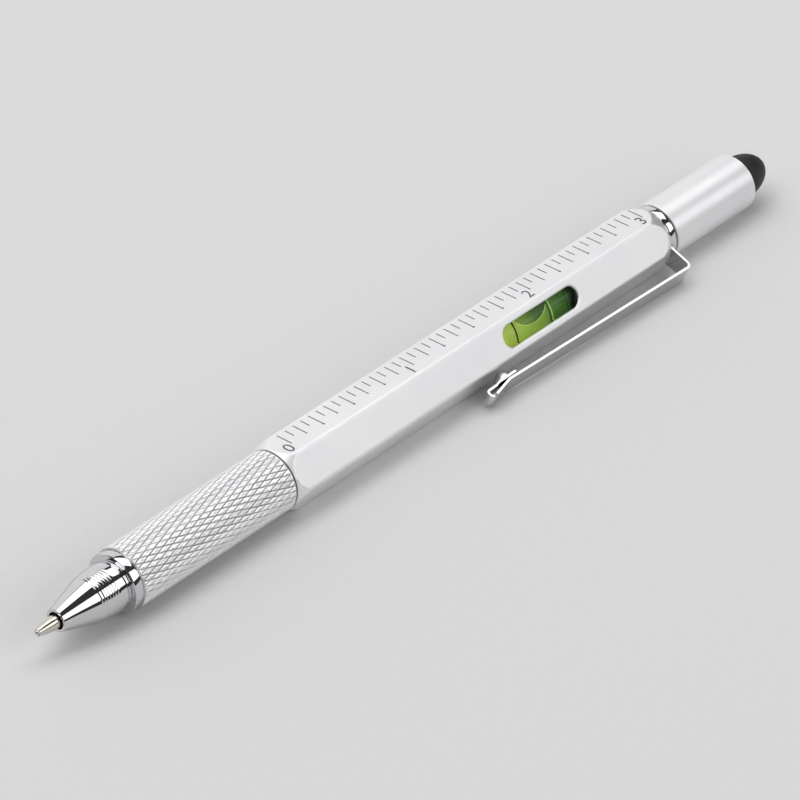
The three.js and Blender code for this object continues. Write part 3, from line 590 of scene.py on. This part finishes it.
# inch ruler: pad-printed ticks a sixteenth of an inch apart, and a numeral at each inch
inchLength = 25.4
ruler = {
    "zero": -37.6,  # mm along the pen
    "pitch": inchLength / 16,
    "far": 2.0,  # where ticks start, mm from the middle of the flat
    "line": 0.17,
    "short": 1.68,
    "middle": 2.72,
    "long": 2.86,
    "dot": 0.36,
    "dotExtra": 0.002,  # a dot is this much thicker than its tick, so that their faces lie apart
    "numeral": 2.0,
    "numeralShare": 0.73,  # a numeral's height over its font size
    "numeralBacks": [1.1, 1.2, 1.15, 0.9],  # from each inch tick to the middle of its numeral
    "numeralOut": 0.34,  # from the tick's end to the same place
    "film": 0.012,  # how far the ink stands on the flat
    "root": 0.03,  # and how far it goes in
}
inkDepth = ruler["film"] + ruler["root"]
inkMiddle = axisHeight + barrel["acrossFlats"] / 2 + (ruler["film"] - ruler["root"]) / 2


# rows are (count, how many sixteenths apart)
def repeatAlong(piece, *rows):
    for count, every in rows:
        modify(piece, "ARRAY", count=count, use_relative_offset=False, use_constant_offset=True,
               constant_offset_displace=(every * ruler["pitch"] * mm, 0, 0))
    return piece


def tickAt(sixteenth, length):
    bpy.ops.object.select_all(action="DESELECT")
    x = ruler["zero"] + sixteenth * ruler["pitch"]
    y = ruler["far"] - length / 2
    bpy.ops.mesh.primitive_cube_add(size=mm, location=(x * mm, y * mm, inkMiddle * mm),
                                    scale=(ruler["line"], length, inkDepth))
    tick = bpy.context.object
    settle(tick)
    return tick


def dotAt(sixteenth):
    bpy.ops.object.select_all(action="DESELECT")
    x = ruler["zero"] + sixteenth * ruler["pitch"]
    y = ruler["far"] - ruler["long"]
    bpy.ops.mesh.primitive_cylinder_add(vertices=16, radius=ruler["dot"] / 2 * mm,
                                        depth=(inkDepth + ruler["dotExtra"]) * mm,
                                        location=(x * mm, y * mm, inkMiddle * mm))
    dot = bpy.context.object
    settle(dot)
    return dot


def numeralAt(inch):
    bpy.ops.object.select_all(action="DESELECT")
    bpy.ops.object.text_add()
    text = bpy.context.object
    text.data.body = str(inch)
    text.data.size = ruler["numeral"] / ruler["numeralShare"] * mm
    text.data.align_x = "CENTER"
    text.data.extrude = inkDepth / 2 * mm
    choose(text)
    bpy.ops.object.convert(target="MESH")
    numeral = bpy.context.object
    middle = ruler["far"] - ruler["middle"] - ruler["numeralOut"]
    numeral.location = ((ruler["zero"] + inch * inchLength - ruler["numeralBacks"][inch]) * mm,
                        (middle - ruler["numeral"] / 2) * mm, inkMiddle * mm)
    settle(numeral)
    tidyMesh(numeral)
    return numeral


marks = repeatAlong(tickAt(1, ruler["short"]), (24, 2))
quarters = [repeatAlong(piece, (3, 4), (3, 16)) for piece in (tickAt(4, ruler["long"]), dotAt(4))]
eighths = repeatAlong(tickAt(2, ruler["middle"]), (12, 4))
inches = repeatAlong(tickAt(0, ruler["middle"]), (4, 16))
numerals = [numeralAt(inch) for inch in range(len(ruler["numeralBacks"]))]
joinTo(marks, eighths, inches, *quarters, *numerals)
dress(marks, rulerInk)
fit(marks, "ruler_marks", "barrel", "black_plastic")
print("ruler printed")


# knurled grip: one rolled diamond, repeated along and round the sleeve between two turned lands
knurl = {
    "around": 34,
    "pitch": 2.84,
    "groove": 4.44,
    "crest": 4.65,
    "steps": [(0.05, 0.11), (0.09, 0.06), (0.12, 0.04)],  # inward and up, from the groove to the crest
    "land": 0.15,
    "landRadius": 4.53,
    "sink": 0.02,  # how far the sleeve lies under the grooves
    "skirt": 0.86,  # share of its radius that the knurl's open rim is drawn in to
    "bore": 3.3,
    "sideCorner": 0.1,  # a tile's corners farther out than this are its side corners
    "seamWeld": 0.01,
    "weld": 0.001,
}


def makeGrip():
    half = math.pi / knurl["around"]
    pitch = knurl["pitch"]
    groove = knurl["groove"]
    count = math.ceil((gripRear - gripFront) / pitch) + 1
    bpy.ops.object.select_all(action="DESELECT")
    bpy.ops.mesh.primitive_circle_add(vertices=4, radius=pitch / 2 * mm, fill_type="NGON",
                                      location=onAxis(gripFront, groove))
    tile = bpy.context.object
    tile.scale.y = groove * math.sin(half) / (pitch / 2)
    settle(tile)
    openEdit(tile)
    pick(tile, "verts", lambda v: abs(v.co.y) > knurl["sideCorner"] * mm)
    bpy.ops.transform.translate(value=(0, 0, -groove * (1 - math.cos(half)) * mm))
    bpy.ops.mesh.select_mode(type="FACE")
    bpy.ops.mesh.select_all(action="SELECT")
    for inward, up in knurl["steps"]:
        bpy.ops.mesh.inset(thickness=inward * mm, use_even_offset=True)
        bpy.ops.transform.translate(value=(0, 0, up * mm))
    closeEdit()
    choose(tile)
    bpy.ops.object.duplicate()
    second = bpy.context.object
    second.matrix_world = (Matrix.Translation(axisPoint) @ Matrix.Rotation(half, 4, "X")
                           @ Matrix.Translation(Vector((pitch / 2 * mm, 0, 0)) - axisPoint))
    settle(second)
    joinTo(tile, second)
    modify(tile, "ARRAY", count=count, use_relative_offset=False, use_constant_offset=True,
           constant_offset_displace=(pitch * mm, 0, 0))
    openEdit(tile)
    bpy.ops.mesh.select_all(action="SELECT")
    bpy.ops.mesh.spin(steps=knurl["around"] - 1, dupli=True, angle=2 * math.pi - 2 * half,
                      center=axisPoint, axis=(1, 0, 0))
    bpy.ops.mesh.select_all(action="SELECT")
    bpy.ops.mesh.remove_doubles(threshold=knurl["seamWeld"] * mm)
    landEnd, landStart = gripFront + knurl["land"], gripRear - knurl["land"]
    for x, side in ((landEnd, 1), (landStart, -1)):
        bpy.ops.mesh.select_all(action="SELECT")
        bpy.ops.mesh.bisect(plane_co=(x * mm, 0, 0), plane_no=(side, 0, 0), clear_inner=True)
    bpy.ops.mesh.select_all(action="DESELECT")
    bpy.ops.mesh.select_mode(type="EDGE")
    bpy.ops.mesh.select_non_manifold()
    bpy.ops.mesh.extrude_edges_move()
    bpy.ops.transform.resize(value=(1, knurl["skirt"], knurl["skirt"]), center_override=axisPoint)
    bpy.ops.mesh.bridge_edge_loops()
    closeEdit()
    tidyMesh(tile, knurl["weld"])
    bpy.ops.object.shade_flat()
    inner, low, top = knurl["bore"], groove - knurl["sink"], knurl["landRadius"]
    profile = [(gripFront, inner), (gripFront, top), (landEnd, top), (landEnd, low),
               (landStart, low), (landStart, top), (gripRear, top), (gripRear, inner), (gripFront, inner)]
    sleeve = turnPiece("sleeve", profile, edge=0.03)
    joinTo(sleeve, tile)
    dress(sleeve, knurlSilver(knurl["groove"], knurl["crest"]))
    return sleeve


grip = makeGrip()
fit(grip, "knurl_sleeve", "grip", "satin_silver", "knurled_grip")
print("grip made")


# nose: polished cone with fine turned grooves, a plain band, and a threaded spigot into the grip
nose = {
    "mouth": 1.3,
    "mouthLength": 1.0,
    "mouthFlare": 1.6,
    "tip": 1.7,
    "bore": 2.1,
    "coneLength": 5.65,
    "coneRear": 3.33,
    "rear": 3.6,
    "crown": 0.16,
    "bandSteps": 4,
    "groovePitch": 0.48,
    "grooveWidth": 0.2,
    "grooveDepths": [0.13, 0.11, 0.05, 0.05, 0.05, 0.05, 0.05],  # the first two are the most distinct
    "edge": 0.12,
    "length": 10.45,
    "spigot": 3.0,
    "spigotLength": 6,
    "spigotTaper": 0.1,
    "threadStart": 0.8,  # from the shoulder
    "threadRunout": 0.4,
    "threadPitch": 0.6,
    "threadDepth": 0.12,
    "threadCrest": 0.35,  # share of the pitch where the crest ends
    "threadRoot": 0.7,  # and where the root lies
}


# V-shaped thread on the spigot, drawn as rings from one place to another
def threadRings(start, end):
    places = []
    x = start
    radius = nose["spigot"]
    pitch = nose["threadPitch"]
    while x + pitch <= end:
        places += [(x, radius), (x + pitch * nose["threadCrest"], radius),
                   (x + pitch * nose["threadRoot"], radius - nose["threadDepth"])]
        x += pitch
    return places + [(x, radius)]


def makeNose():
    rear = noseFront + nose["length"]
    coneEnd = noseFront + nose["coneLength"]
    profile = [(noseFront, nose["mouth"]), (noseFront, nose["tip"])]

    def outside(x):
        share = (x - coneEnd) / (rear - coneEnd)
        straight = nose["coneRear"] + (nose["rear"] - nose["coneRear"]) * share
        return (x, straight + nose["crown"] * math.sin(math.pi * share))

    for i, depth in enumerate(nose["grooveDepths"]):
        x = coneEnd + i * nose["groovePitch"]
        middle = outside(x + nose["grooveWidth"] / 2)
        profile += [outside(x), (middle[0], middle[1] - depth), outside(x + nose["grooveWidth"])]
    plain = coneEnd + len(nose["grooveDepths"]) * nose["groovePitch"]
    steps = nose["bandSteps"]
    profile += [outside(plain + (rear - nose["edge"] - plain) * i / steps) for i in range(steps + 1)]
    profile += [(rear, nose["rear"] - nose["edge"]), (rear, nose["spigot"])]
    end = rear + nose["spigotLength"]
    profile += threadRings(rear + nose["threadStart"], end - nose["threadRunout"])
    profile += [(end, nose["spigot"] - nose["spigotTaper"]), (end, nose["bore"])]
    flare = noseFront + nose["mouthLength"]
    profile += [(flare + nose["mouthFlare"], nose["bore"]), (flare, nose["mouth"])]
    profile += [(noseFront, nose["mouth"])]
    return turnPiece("nose", profile, edge=0.03)


noseShell = makeNose()
dress(noseShell, chromePlate)
fit(noseShell, "nose_shell", "nose", "chrome", "nose_cone")


# collar and neck between the nose and the knurl
collar = {
    "bore": 3.3,
    "neck": 3.45,
    "neckLength": 0.3,
    "radius": 4.45,
    "edge": 0.12,
}


def makeCollar():
    inner, neck, radius, edge = collar["bore"], collar["neck"], collar["radius"], collar["edge"]
    shoulder = collarFront + collar["neckLength"]
    profile = [(collarFront, inner), (collarFront, neck), (shoulder, neck), (shoulder, radius - edge),
               (shoulder + edge, radius), (gripFront, radius), (gripFront, inner), (collarFront, inner)]
    return turnPiece("collar", profile, edge=0.03)


gripCollar = makeCollar()
dress(gripCollar, chromePlate)
fit(gripCollar, "grip_collar", "grip", "chrome", "front_collar")

# washer between the grip and the barrel
washer = {"bore": 3.0, "radius": 4.25, "edge": 0.05}
sealWasher = turnPiece("washer", ringOf(gripRear, barrelFront, washer["bore"], washer["radius"]),
                       edge=washer["edge"])
dress(sealWasher, greyNylon)
fit(sealWasher, "seal_washer", "barrel", "black_plastic", "grip_washer")
print("nose, collar and washer turned")

# refill's front end: turned point that carries the ball, in the end of its brass tube
refill = {
    "tip": 0.5,
    "cup": 0.47,
    "body": 1.0,
    "coneLength": 2.5,
    "coneCrown": 0.05,
    "shoulder": 4.8,  # from the point's front to the tube
    "stem": 0.55,
    "channel": 0.22,
    "cupEnd": 0.25,  # from the ball's middle
    "channelStart": 0.6,
    "tube": 1.15,
    "tubeBore": 0.85,
    "steps": 64,
    "ballSteps": 16,  # over the ball's half turn
}


def makePoint():
    front, rear = reachOf("refill_point")
    ballFront, ballRear = reachOf("writing_ball")
    ballX = (ballFront + ballRear) / 2
    ballRadius = (ballRear - ballFront) / 2
    shoulder = front + refill["shoulder"]
    body, stem, channel, cup = refill["body"], refill["stem"], refill["channel"], refill["cup"]
    profile = [(front, cup)]
    profile += swell((front, refill["tip"]), (front + refill["coneLength"], body), refill["coneCrown"])
    profile += [(shoulder, body), (shoulder, stem), (rear, stem), (rear, channel)]
    profile += [(ballX + refill["channelStart"], channel), (ballX + refill["cupEnd"], cup), (front, cup)]
    pointPiece = turnPiece("point", profile, steps=refill["steps"], edge=0.02)
    dress(pointPiece, nickelPoint)
    fit(pointPiece, "point_cone", "refill", "nickel_silver", "refill_point")
    steps = refill["ballSteps"]
    angles = [math.pi * i / steps for i in range(steps + 1)]
    arc = [(ballX - ballRadius * math.cos(angle), ballRadius * math.sin(angle)) for angle in angles]
    ballPiece = turnPiece("ball", arc, steps=2 * steps, edge=0)
    dress(ballPiece, polishedSteel)
    fit(ballPiece, "point_ball", "ball", "tool_steel", "writing_ball")
    tubePiece = turnPiece("tube", ringOf(*reachOf("refill_tube"), refill["tubeBore"], refill["tube"]),
                          steps=refill["steps"])
    dress(tubePiece, brassTurned)
    fit(tubePiece, "ink_tube", "refill", "brass", "refill_tube")


makePoint()
print("refill's front end turned")


# rear collar: polished ring that clamps the clip's washer
rearCollar = {"bore": 3.406, "radius": 4.356, "edge": 0.2}


def makeRearCollar():
    inner, outer, edge = rearCollar["bore"], rearCollar["radius"], rearCollar["edge"]
    profile = [(washerRear, inner), (washerRear, outer - edge), (washerRear + edge, outer),
               (rearCollarEnd - edge, outer), (rearCollarEnd, outer - edge), (rearCollarEnd, inner),
               (washerRear, inner)]
    return turnPiece("ring", profile)


rearRing = makeRearCollar()
dress(rearRing, chromePlate)
fit(rearRing, "rear_ring", "barrel", "chrome", "rear_collar")

# stylus cap, bored and threaded inside
cap = {
    "bore": 3.4,
    "radius": 4.4,
    "edge": 0.12,
    "boreEnd": 58.75,
    "neckHole": 1.9,
    "threadInner": 5,  # from the cap's mouth
    "threadOuter": 0.8,
    "threadPitch": 0.6,
    "threadWidth": 0.5,
    "threadDepth": 0.1,
}


def makeCap():
    inner, outer, edge = cap["bore"], cap["radius"], cap["edge"]
    root = inner + cap["threadDepth"]
    profile = [(capFront, root), (capFront, outer - edge), (capFront + edge, outer)]
    profile += [(capEnd - edge, outer), (capEnd, outer - edge), (capEnd, cap["neckHole"])]
    profile += [(cap["boreEnd"], cap["neckHole"]), (cap["boreEnd"], inner)]
    x = capFront + cap["threadInner"]
    while x > capFront + cap["threadOuter"]:
        profile += [(x, inner), (x - cap["threadWidth"] / 2, root), (x - cap["threadWidth"], inner)]
        x -= cap["threadPitch"]
    profile += [(capFront, root)]
    return turnPiece("cap", profile)


capShell = makeCap()
dress(capShell, satinTurned)
fit(capShell, "cap_shell", "cap", "satin_silver", "stylus_cap")


# rubber dome on the cap's end, with a stem in its neck
stylus = {
    "radius": 3.3,
    "skirt": 1.2,
    "stem": 1.6,
    "footLength": 0.15,  # of the slope at the dome's foot
    "footDepth": 0.1,
    "steps": 16,
}


def makeStylus():
    skirtEnd = capEnd + stylus["skirt"]
    stem, radius, steps = stylus["stem"], stylus["radius"], stylus["steps"]
    profile = [(stylusFront, 0), (stylusFront, stem), (capEnd, stem), (capEnd, radius - stylus["footDepth"]),
               (capEnd + stylus["footLength"], radius), (skirtEnd, radius)]
    for i in range(1, steps):
        angle = math.pi / 2 * i / steps
        profile.append((skirtEnd + (stylusEnd - skirtEnd) * math.sin(angle), radius * math.cos(angle)))
    profile.append((stylusEnd, 0))
    return turnPiece("dome", profile, edge=0)


stylusDome = makeStylus()
dress(stylusDome, blackRubber)
fit(stylusDome, "stylus_dome", "cap", "black_rubber", "stylus_tip")
print("rear collar, cap and stylus turned")


# pocket clip: one spring strip, bent up from its washer and folded back at the free end
clip = {
    "turn": 112,  # degrees round the pen from the ruler's flat
    "thickness": 0.35,
    "footHeight": 3.9,  # where the strip leaves its washer, over the pen's axis as all heights
    "rearHeight": 8.12,
    "frontHeight": 7.26,
    "rearWidth": 3.2,
    "frontWidth": 3.0,
    "reach": 40,
    "bend": 0.8,
    "flareLength": 3.7,
    "flareRise": 0.8,
    "flareBend": 2,
    "tongueReach": 0.6,
    "turnDepth": 1.2,
    "turnRadius": 0.45,
    "neckWidth": 2.0,
    "neckLength": 2.2,
    "padWidth": 3.0,
    "padLength": 6.6,
    "padCorner": 0.5,
    "padDrop": 0.15,
    "dome": 1.4,
    "domeFromTurn": 4.5,
    "domeFoot": 5.05,  # how near the dome comes to the pen's axis
    "domeSteps": 12,
    "domeTurns": 48,
    "washer": 4.306,
    "washerHole": 3.406,
    "spareWidth": 0.4,  # of the sheet, for the plan to cut away
    "planOverrun": 1,  # how far the plan passes an end
    "planHeight": 12,
    "planWeld": 0.001,
    "blendLength": 9,  # over which the clip's bending starts
}


# corners as (x, height, radius) made into places along the line, its corners rounded
def roundedLine(corners, steps=8):
    places = [Vector(corners[0][:2])]
    for before, corner, after in zip(corners, corners[1:], corners[2:]):
        here = Vector(corner[:2])
        back = (Vector(before[:2]) - here).normalized()
        ahead = (Vector(after[:2]) - here).normalized()
        half = back.angle(ahead) / 2
        setback = corner[2] / math.tan(half)
        centre = here + (back + ahead).normalized() * corner[2] / math.sin(half)
        start = here + back * setback - centre
        end = here + ahead * setback - centre
        sweep = start.angle_signed(end)
        for i in range(steps + 1):
            angle = -sweep * i / steps
            places.append(centre + Matrix.Rotation(angle, 2) @ start)
    places.append(Vector(corners[-1][:2]))
    return places


# sheet strip that follows corners, upright over the pen's axis and cut to a plan of (mm along, mm wide)
def sheetStrip(corners, plan):
    widest = max(clip["rearWidth"], clip["padWidth"]) + clip["spareWidth"]
    places = [Vector((p.x * mm, -widest / 2 * mm, (axisHeight + p.y) * mm)) for p in roundedLine(corners)]
    strip = drawLine("strip", places)
    openEdit(strip)
    bpy.ops.mesh.select_all(action="SELECT")
    bpy.ops.mesh.extrude_region_move(TRANSFORM_OT_translate={"value": (0, widest * mm, 0)})
    closeEdit()
    tidyMesh(strip)
    modify(strip, "SOLIDIFY", thickness=clip["thickness"] * mm, offset=0, use_even_offset=True)
    tidyMesh(strip)
    outline = [(x, -width / 2) for x, width in plan] + [(x, width / 2) for x, width in reversed(plan)]
    cutter = drawLine("plan", [Vector((x * mm, y * mm, axisPoint.z)) for x, y in outline + outline[:1]])
    openEdit(cutter)
    bpy.ops.mesh.select_all(action="SELECT")
    bpy.ops.mesh.remove_doubles(threshold=clip["planWeld"] * mm)
    bpy.ops.mesh.select_all(action="SELECT")
    bpy.ops.mesh.edge_face_add()
    bpy.ops.mesh.extrude_region_move(TRANSFORM_OT_translate={"value": (0, 0, clip["planHeight"] * mm)})
    closeEdit()
    tidyMesh(cutter)
    carve(strip, cutter, "INTERSECT")
    return strip


# dome pressed out of the pad towards the barrel
def pressedDome(x, height):
    side = height - clip["thickness"] / 2
    steps = clip["domeSteps"]
    places = []
    for i in range(steps + 1):
        angle = math.pi / 2 * i / steps
        out = clip["dome"] * math.sin(angle)
        drop = (side - clip["domeFoot"]) * math.cos(angle)
        places.append(Vector(((x + out) * mm, 0, (axisHeight + side - drop) * mm)))
    for out in (clip["dome"], 0):
        places.append(Vector(((x + out) * mm, 0, (axisHeight + height) * mm)))
    dome = drawLine("dome", places)
    openEdit(dome)
    bpy.ops.mesh.select_all(action="SELECT")
    bpy.ops.mesh.spin(steps=clip["domeTurns"], angle=2 * math.pi, center=(x * mm, 0, axisPoint.z),
                      axis=(0, 0, 1))
    closeEdit()
    tidyMesh(dome)
    return dome


def makeClip():
    stripX = barrelRear + clip["thickness"] / 2
    flareX = stripX - clip["reach"]
    flareEnd = flareX - clip["flareLength"]
    flareTop = clip["frontHeight"] + clip["flareRise"]
    turnX = flareEnd - clip["tongueReach"]
    padHeight = flareTop - clip["turnDepth"]
    padEnd = turnX + clip["padLength"]
    neckEnd = turnX + clip["neckLength"]
    corner = clip["padCorner"]
    over = clip["planOverrun"]
    front, neck, pad = clip["frontWidth"], clip["neckWidth"], clip["padWidth"]
    strip = sheetStrip(
        [(stripX, clip["footHeight"], 0), (stripX, clip["rearHeight"], clip["bend"]),
         (flareX, clip["frontHeight"], clip["flareBend"]), (flareEnd, flareTop, 0)],
        [(flareEnd - over, front), (flareX, front), (stripX + over, clip["rearWidth"])])
    tongue = sheetStrip(
        [(flareEnd + clip["tongueReach"], flareTop - clip["thickness"] / 2, 0),
         (turnX, flareTop, clip["turnRadius"]), (turnX, padHeight, clip["turnRadius"]),
         (padEnd, padHeight - clip["padDrop"], 0)],
        [(turnX - over, neck), (neckEnd, neck), (neckEnd + corner, pad), (padEnd - corner, pad),
         (padEnd, pad - 2 * corner), (padEnd + over, pad - 2 * corner)])
    share = clip["domeFromTurn"] / clip["padLength"]
    carve(tongue, pressedDome(turnX + clip["domeFromTurn"], padHeight - clip["padDrop"] * share), "UNION")
    carve(strip, tongue, "UNION")
    turnAboutPen(strip, math.radians(clip["turn"]))
    ring = turnPiece("ring", ringOf(barrelRear, washerRear, clip["washerHole"], clip["washer"]), edge=None)
    carve(strip, ring, "UNION")
    tidyMesh(strip)
    easeEdges(strip, 0.05)
    dress(strip, chromePlate)
    return strip


clipSkin = makeClip()
clipSkin.name = "spring_clip"
clipSkin.data.name = "spring_clip"
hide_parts("clip_ring", "clip_arm")
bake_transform(clipSkin)
print("clip bent")


# level vial potted in the window with clear resin: dyed liquid with a bubble, ring marks and a plug
vial = {
    "radius": 3.4,
    "bore": 2.6,
    "floor": 0.8,
    "plug": 2,
    "plugEdge": 0.08,
    "resinFoot": 2.8,
    "resinTop": 4.45,
    "resinGap": 0.03,
    "skin": 0.005,  # the liquid reaches this far into the wall, so that no air shows between them
    "bubble": (3.7, 3.7, 2.3),  # half its length, width and depth
    "bubbleX": -0.5,  # from the window's middle
    # how much larger than the bubble its rim's painted highlight is
    "outline": 1.05,
    "rimHighlightLift": 0.006,  # over the liquid, so that the patches don't share its face
    "bubbleLift": 0.012,
    "markDepth": 0.02,  # to each side of the liquid's face
    # where a mark starts, how wide it is and its ink
    # the second and third marks are one ring, drawn as its painted shade beside its painted highlight; the
    # last is a faint dark line in the same dark tone
    "marks": [(7.0, 0.3, "ink"), (14.35, 0.35, "deep"), (14.8, 0.25, "pale"), (18.2, 0.25, "deep")],
}


# patch on the liquid's face over the bubble, coloured in painted light: shade and reflection for the bubble,
# a highlight for its rim
def bubblePatch(name, grow, lift, finish):
    bpy.ops.object.select_all(action="DESELECT")
    bpy.ops.mesh.primitive_uv_sphere_add(segments=64, ring_count=32, radius=mm,
                                         location=onAxis(windowMiddle + vial["bubbleX"], vial["bore"]),
                                         scale=[half * grow for half in vial["bubble"]])
    bubble = bpy.context.object
    settle(bubble)
    radius = vial["bore"] + vial["skin"] + lift
    core = turnPiece("core", rodOf(vialFront, vialRear, radius), edge=None)
    carve(bubble, core, "INTERSECT")
    tidyMesh(bubble)
    easeEdges(bubble, 0)
    dress(bubble, finish)
    fit(bubble, name, "barrel", "level_liquid")


def makeVial():
    floorX = vialFront + vial["floor"]
    plugX = vialRear - vial["plug"]
    outer, inner = vial["radius"], vial["bore"]
    filled = inner + vial["skin"]
    profile = [(vialFront, 0), (vialFront, outer), (vialRear, outer), (vialRear, inner),
               (floorX, inner), (floorX, 0)]
    tubePiece = turnPiece("tube", profile, edge=None)
    gap = vial["resinGap"]
    resin = slotBody(barrel["windowLength"] - 2 * gap, barrel["windowWidth"] - 2 * gap,
                     vial["resinFoot"], [(vial["resinTop"], 0)])
    carve(tubePiece, resin, "UNION")
    tidyMesh(tubePiece)
    easeEdges(tubePiece, 0.06)
    dress(tubePiece, vialAcrylic)
    fit(tubePiece, "vial_tube", "barrel", "clear_plastic", "level_vial")
    liquid = turnPiece("liquid", rodOf(floorX, plugX, filled), edge=0)
    dress(liquid, levelLiquidPaintedLight)
    fit(liquid, "vial_fill", "barrel", "level_liquid", "vial_liquid")
    # a slightly larger pale patch round the bubble, as its rim's painted highlight
    bubblePatch("bubble_rim_painted_highlight", vial["outline"], vial["rimHighlightLift"], liquidPaintedHighlight)
    # the bubble: a patch in painted shade and painted reflection
    bubblePatch("bubble", 1, vial["bubbleLift"], liquidPaintedShade)
    inks = {"ink": blackPlastic, "deep": liquidPaintedShade, "pale": liquidPaintedHighlight}
    depth = vial["markDepth"]
    for number, (x, width, ink) in enumerate(vial["marks"]):
        ring = turnPiece("mark", ringOf(x, x + width, filled - depth, filled + depth), edge=None)
        dress(ring, inks[ink])
        fit(ring, f"vial_mark_{number + 1}", "barrel", "black_plastic")
    plug = turnPiece("plug", rodOf(plugX, vialRear, filled), edge=vial["plugEdge"])
    dress(plug, greenStopper)
    fit(plug, "vial_stopper", "barrel", "black_plastic", "vial_plug")


makeVial()
print("vial filled")


# nodes of the frame that keep their own shape
inside = {
    "ink_column": blueInk,
    "ink_follower": clearGrease,
    "refill_carrier": whitePlastic,
    "follower_pin": polishedSteel,
    "guide_tube": brassTurned,
    "retaining_ring": polishedSteel,
    "front_bushing": brassTurned,
    "cam_tube": brassTurned,
    "bit_socket": groundSteel,
    "socket_magnet": magnetNickel,
    "screwdriver_bit": groundSteel,
}
for name, finish in inside.items():
    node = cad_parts[name]
    for slot in node.material_slots:
        slot.material = finish
print("inner pieces finished")
